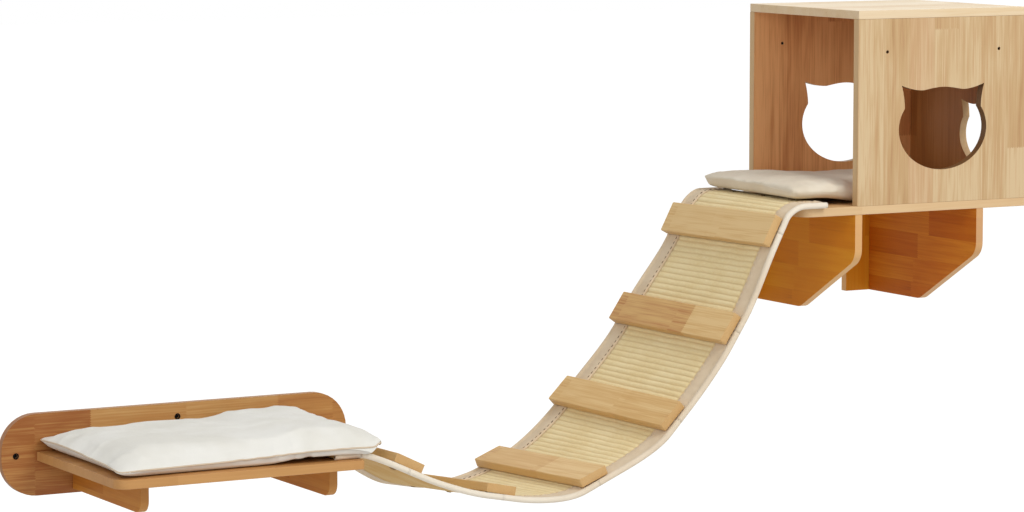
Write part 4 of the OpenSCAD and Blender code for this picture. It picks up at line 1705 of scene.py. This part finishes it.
    def _wrinkle(self, piece: Object) -> None:
        """Lays soft creases that run in from the edges, and slight hollows on the top.

        Args:
            piece: The pad.
        """
        piece.data.update()
        size = self.high - self.low
        for v in piece.data.vertices:
            if v.normal.z < -0.3:
                continue
            u, w = (v.co.x - self.low.x) / size.x, (v.co.y - self.low.y) / size.y
            rim = min(u * self.LONGER, (1 - u) * self.LONGER, w, 1 - w)
            near = math.exp(-((rim - self.CREASE_AT) / self.CREASE_BAND) ** 2) * ease(v.normal.z, -0.1, 0.5)
            turn = u if min(w, 1 - w) < min(u, 1 - u) * self.LONGER else w * 0.72
            # Creases cross the nearest edge. Broad and fine hollows and a few ridges lie over the top.
            crease = abs(noise.noise(Vector((turn * 13, rim * 5, self.seed))))
            broad = noise.noise(Vector((u * 3.1, w * 2.3, self.seed + 5)))
            fine = noise.noise(Vector((u * 9 + w * 4, w * 8 - u * 3, self.seed + 9)))
            ridge = 1 - abs(noise.noise(Vector((u * 4.2 + w * 1.8, w * 3.4 - u * 1.1, self.seed + 2)))) * 2
            push = (-near * crease * 1.9 + broad * 1.2 + fine * 0.35
                    + max(0.0, ridge - 0.72) * 1.8) * ease(v.normal.z, -0.3, 0.5)
            v.co += v.normal * push * self.wrinkle

    def _seam_height(self, w: float) -> float:
        """Height of the seam as a share of the thickness, from the front at -1 to the wall at 1."""
        return self.seam_low + self.seam_rise * (w + 1) / 2

    def _seam(self, piece: Object) -> Object:
        """Sews a thin welt round the pad, along its outermost line.

        Rays from outside find how far the pad reaches at each level, and the farthest point is kept. The
        heights of those points are evened out along the edge.

        Args:
            piece: The finished pad.

        Returns:
            The welt.
        """
        tree = BVHTree.FromPolygons([v.co for v in piece.data.vertices],
                                    [tuple(p.vertices) for p in piece.data.polygons])
        points = []
        for i in range(self.WELT_POINTS):
            turn = TURN * i / self.WELT_POINTS
            c, s = math.cos(turn), math.sin(turn)
            far = 1.15 / max(abs(c), abs(s))
            out = Vector((self.half.x * c * far, self.half.y * s * far, 0.0))
            start, inwards = self.centre + out, -out.normalized()
            base = self.low.z + self._lifted(max(self.low.x, min(self.high.x, start.x)))
            hits = []
            for level in range(1, self.WELT_LEVELS + 1):
                start.z = base + self.thickness * self.WELT_STEP * level
                hits.append(tree.ray_cast(start, inwards)[0])
            points.append(min((h for h in hits if h is not None), key=lambda h: (h - start).xy.length))
        near = range(-self.WELT_EVENED, self.WELT_EVENED + 1)
        levels = [sum(points[(i + k) % len(points)].z for k in near) / len(near)
                  for i in range(len(points))]
        points = [tree.find_nearest(Vector((p.x, p.y, z)))[0] for p, z in zip(points, levels)]
        name = f"{self.name}_welt"
        welt = new_piece(name, line_mesh(name, points, closed=True), self.piping)
        add_nodes(welt, cord_tree(), {"Radius": self.seam_radius, "Material": self.piping})
        return made_plain(welt)


# ---------------------------------------------------------------- wood and metal

@dataclass
class Joinery:
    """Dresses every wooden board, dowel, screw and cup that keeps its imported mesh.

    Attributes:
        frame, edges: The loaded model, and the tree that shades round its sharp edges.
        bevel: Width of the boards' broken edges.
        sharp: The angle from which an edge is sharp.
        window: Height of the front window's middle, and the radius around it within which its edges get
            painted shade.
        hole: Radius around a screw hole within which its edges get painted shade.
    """

    FLAT = math.radians(0.4)  # faces that turn less are merged
    CORNER = math.radians(50)  # edges that turn more are broken

    frame: Mapping[str, Any]
    edges: NodeTree
    bevel: float = 0.0012
    sharp: float = math.radians(35)
    window: tuple[float, float] = (0.138, 0.14)
    hole: float = 0.010

    def boards(self) -> dict[str, tuple[Timber, Vector, Vector, Vector | None]]:
        """Each board's wood, the directions of its fibres and staves, and the direction of its inner face,
        which gets painted shade.

        Returns:
            Those four for each board's node.
        """
        return {
            "house_front": (Timber.PANEL, Z, X, Y), "house_back": (Timber.PANEL, Z, X, -Y),
            "house_side": (Timber.SIDE, Z, Y, -X), "house_top": (Timber.TOP, X, Y, -Z),
            "upper_shelf": (Timber.SHELF, X, Y, None), "lower_shelf": (Timber.LOWER, X, Y, None),
            "gusset_left": (Timber.GOLDEN, Y, Z, None), "gusset_right": (Timber.RED, Y, Z, None),
            "wall_plate_left": (Timber.GOLDEN, Z, X, None), "wall_plate_right": (Timber.GOLDEN, Z, X, None),
            "lower_bracket_left": (Timber.LOW, Y, Z, None), "lower_bracket_right": (Timber.LOW, Y, Z, None),
            "backboard": (Timber.WALL_BOARD, X, Z, None), "house_dowels": (Timber.DOWEL, Z, X, None)}

    def dress(self, course: Course) -> None:
        """Gives each board and slat its wood, and each fastener its metal.

        Args:
            course: The bridge's course, for the slats' own directions.
        """
        nodes = self.frame["nodes"]
        for name, (timber, fibres, staves, inside) in self.boards().items():
            blocks = BACKBOARD_BLOCKS if name == "backboard" else ()
            shade_rimmed_cuts = self._front_cuts() if name == "house_front" else ()
            self._wood(nodes[name], timber, Grain(middle_of(name), fibres, staves, blocks, inside, shade_rimmed_cuts))
        for k, blocks in enumerate(SLAT_BLOCKS, 1):
            station = course.stations[k]
            self._wood(nodes[f"slat_{k}"], Timber.SLAT,
                       Grain(station.middle, station.across, station.along, blocks), rounded=True)
        steel, coated = STEEL.material(), COATED.material()
        for name, node in nodes.items():
            if name.startswith(("slat_screws", "bridge_")) and "screws" in name:
                self._metal(node, coated)
            elif name.endswith("screws"):
                self._metal(node, steel)
        self._metal(nodes["backboard_cups"], BLACK.material())

    @staticmethod
    def _front_cuts() -> tuple[tuple[Vector, float], ...]:
        """The front panel's window and screw holes, whose edges get painted shade, each as (centre, radius
        around it).

        Returns:
            The cut-outs.
        """
        middle = middle_of("house_front")
        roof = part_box("house_top")[1][2]
        holes = [(Vector((middle.x + side * WallScrews.span / 2, middle.y, roof - WallScrews.drop)),
                  Joinery.hole) for side in (-1, 1)]
        height, radius = Joinery.window
        return ((Vector((middle.x, middle.y, height)), radius), *holes)

    def _wood(self, node: Object, timber: Timber, grain: Grain, rounded: bool = False) -> None:
        """Gives one node its wood and softly broken edges, unless its edges are rounded already.

        Args:
            node: The board.
            timber: Its wood.
            grain: How the wood lies.
            rounded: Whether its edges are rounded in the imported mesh.
        """
        self._assign(node, timber.value.material(node.name, grain))
        if not rounded:
            whole = node.modifiers.new("whole_faces", "DECIMATE")
            whole.decimate_type, whole.angle_limit = "DISSOLVE", self.FLAT
            bevel = node.modifiers.new("broken_edges", "BEVEL")
            bevel.width, bevel.segments, bevel.limit_method = self.bevel, 2, "ANGLE"
            bevel.angle_limit = self.CORNER
        add_nodes(node, self.edges, {"Sharp Angle": self.sharp})
        even = node.modifiers.new("even_shading", "WEIGHTED_NORMAL")
        even.mode, even.weight, even.keep_sharp = "FACE_AREA", 50, True

    def _metal(self, node: Object, material: Material) -> None:
        """Gives one node its metal."""
        self._assign(node, material)
        add_nodes(node, self.edges, {"Sharp Angle": self.sharp})

    @staticmethod
    def _assign(node: Object, material: Material) -> None:
        """Puts a material in every slot of a node, and merges its doubled points.

        Args:
            node: The node.
            material: The material.
        """
        if not node.material_slots:
            node.data.materials.append(material)
        for slot in node.material_slots:
            slot.material = material
        node.modifiers.new("weld", "WELD").merge_threshold = WELD


@dataclass
class WallScrews:
    """The dark heads of the screws that hold the wall board and the house's back panel to the wall.

    Attributes:
        material, radius, depth: The heads' finish and size.
        span, drop: Distance between the house's two screws, and how far they lie below its top.
        end, top: How far the wall board's screws lie from its ends and from its top.
    """

    DISH = 0.55  # radius of a head's front, as a share of its back's

    material: Material
    radius: float = 0.0028
    depth: float = 0.003
    span: float = 0.252
    drop: float = 0.077
    end: float = 0.027
    top: float = 0.024

    def places(self) -> list[Vector]:
        """The centres of the heads, sunk in their holes.

        Returns:
            The centres.
        """
        low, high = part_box("backboard")
        middle, house = middle_of("backboard"), middle_of("house_back")
        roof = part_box("house_top")[1][2]
        spots = [(low[0] + self.end, middle.z), (high[0] - self.end, middle.z),
                 (middle.x, high[2] - self.top),
                 *((house.x + side * self.span / 2, roof - self.drop) for side in (-1, 1))]
        return [Vector((x, self.depth - BOARD, z)) for x, z in spots]

    def build(self) -> None:
        """Builds the heads as one piece."""
        mesh = bpy.data.meshes.new("wall_screw_places")
        mesh.from_pydata([tuple(p) for p in self.places()], [], [])
        piece = new_piece("wall_screw_heads", mesh, self.material)
        add_nodes(piece, cap_tree(),
                  {"Radius": self.radius, "Depth": self.depth, "Material": self.material})
        made_plain(piece)
        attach(piece, "root")


# ---------------------------------------------------------------- studio

@dataclass
class Studio:
    """White surroundings, a pale floor that keeps the shadow, soft lamps and the camera.

    Attributes:
        eye, yaw, pitch, lens, sensor: The camera's place, the way it looks, and its focal length and
            the width of its picture in mm.
        target: Where the lamps point.
        lamps: Each lamp as (name, place, size, power).
        floor_z, floor_half, floor_tone, floor_glow: The floor's height, half its width, its grey, and
            how strongly it shines for the camera.
        ambient: Strength of the surround's light.
    """

    eye: Vector = field(default_factory=lambda: Vector((-3.9816, -6.2695, 0.6660)))
    yaw: float = math.radians(28.896)
    pitch: float = math.radians(6.104)
    lens: float = 135.8
    sensor: float = 36.0
    target: Vector = field(default_factory=lambda: Vector((-0.55, -0.2, -0.1)))
    lamps: tuple[tuple[str, tuple[float, float, float], float, float], ...] = (
        ("key_lamp", (1.0, -3.8, 4.0), 2.6, 150.0), ("fill_lamp", (-3.8, -3.2, 1.6), 2.4, 38.0))
    floor_z: float = -1.15
    floor_half: float = 30.0
    floor_tone: float = 0.86
    floor_glow: float = 1.65
    ambient: float = 0.52

    def build(self) -> None:
        """Builds camera, world, floor and lamps."""
        self._camera()
        self._world()
        self._floor()
        for name, place, size, power in self.lamps:
            self._lamp(name, Vector(place), size, power)
        bpy.context.scene.view_settings.view_transform = "Standard"

    def _camera(self) -> None:
        """Places the camera at the photograph's viewing angle."""
        data = bpy.data.cameras.new("camera")
        data.lens, data.sensor_width = self.lens, self.sensor
        camera = new_object("camera", data)
        camera.location = self.eye
        camera.rotation_euler = (math.radians(90) - self.pitch, 0.0, -self.yaw)
        bpy.context.scene.camera = camera

    def _world(self) -> None:
        """A plain white surround that lights the object softly."""
        world = bpy.data.worlds.new("surround")
        world.use_nodes = True
        world.node_tree.nodes.clear()
        g = Graph(world.node_tree)
        seen = g.seen_by("Camera").larger(g.seen_by("Glossy")).larger(g.seen_by("Transmission"))
        strength = seen * (1.0 - self.ambient) + self.ambient
        g.end("ShaderNodeOutputWorld",
              g.wire("ShaderNodeBackground", None, {"Color": WHITE, "Strength": strength}))
        bpy.context.scene.world = world

    def _floor(self) -> None:
        """A pale floor under the object, which shows white and keeps the shadow."""
        paint = Paint("floor")
        g = paint.graph
        matt = g.wire("ShaderNodeBsdfDiffuse", None, {"Color": (*[self.floor_tone] * 3, 1.0)})
        glow = g.wire("ShaderNodeEmission", None, {"Color": WHITE, "Strength": self.floor_glow})
        g.end("ShaderNodeOutputMaterial",
              g.wire("ShaderNodeMixShader", None, {0: g.seen_by("Camera") * 0.5, 1: matt, 2: glow}))
        mesh = bpy.data.meshes.new("floor")
        mesh.from_pydata([(x * self.floor_half, y * self.floor_half, self.floor_z)
                          for x, y in ((-1, -1), (1, -1), (1, 1), (-1, 1))], [], [(0, 1, 2, 3)])
        new_piece("floor", mesh, paint.material)

    def _lamp(self, name: str, place: Vector, size: float, power: float) -> None:
        """Hangs one soft square lamp that points at the target.

        Args:
            name: The lamp's name.
            place: Where it hangs.
            size: Length of its sides.
            power: Its power in watts.
        """
        data = bpy.data.lights.new(name, "AREA")
        data.shape, data.size, data.energy = "SQUARE", size, power
        lamp = new_object(name, data)
        lamp.location = place
        lamp.rotation_euler = (self.target - place).to_track_quat("-Z", "Y").to_euler()


def main() -> None:
    """Loads the model and builds the classes in order."""
    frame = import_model()
    Studio().build()
    course = Course(frame)
    log.info("fabric: %.3f m from shelf to shelf", course.runs[-1])
    threads = {1: PALE_THREAD.material(), -1: DARK_THREAD.material()}
    Bridge(course, RIBBED.material(), BORDER.material(), threads).build()
    Cushion("upper_pad", "upper_cushion", UPPER_CLOTH.material(), UPPER_CLOTH.material(),
            "upper_cushion_cloth", seed=3.1, lap_from=0.07, lap_to=-0.050, packed_step=-0.026,
            soften=(0.024, 0.024), rim=1.0, rounded=(1.0, 0.9), crown=0.75, evened=14, draw=0.010,
            point=0.0, wrinkle=0.0040, seam_low=0.36, seam_rise=0.02, seam_radius=0.0005).build(frame)
    Cushion("lower_pad", "lower_cushion", LOWER_CLOTH.material(), PIPING.material(),
            "lower_cushion_cloth", seed=8.4, lap_from=-1.195, lap_to=-1.098, packed_step=-1.112,
            soften=(0.07, 0.032), rounded=(0.0, 0.95), hang=0.010,
            hang_to=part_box("lower_shelf")[1][0] + 0.026, droop=0.005, seam_low=0.20,
            seam_rise=0.34).build(frame)
    Joinery(frame, soft_edges_tree()).dress(course)
    WallScrews(BLACK.material()).build()


if __name__ == "__main__":
    logging.basicConfig(level=logging.INFO, format="%(name)s: %(message)s")
    main()
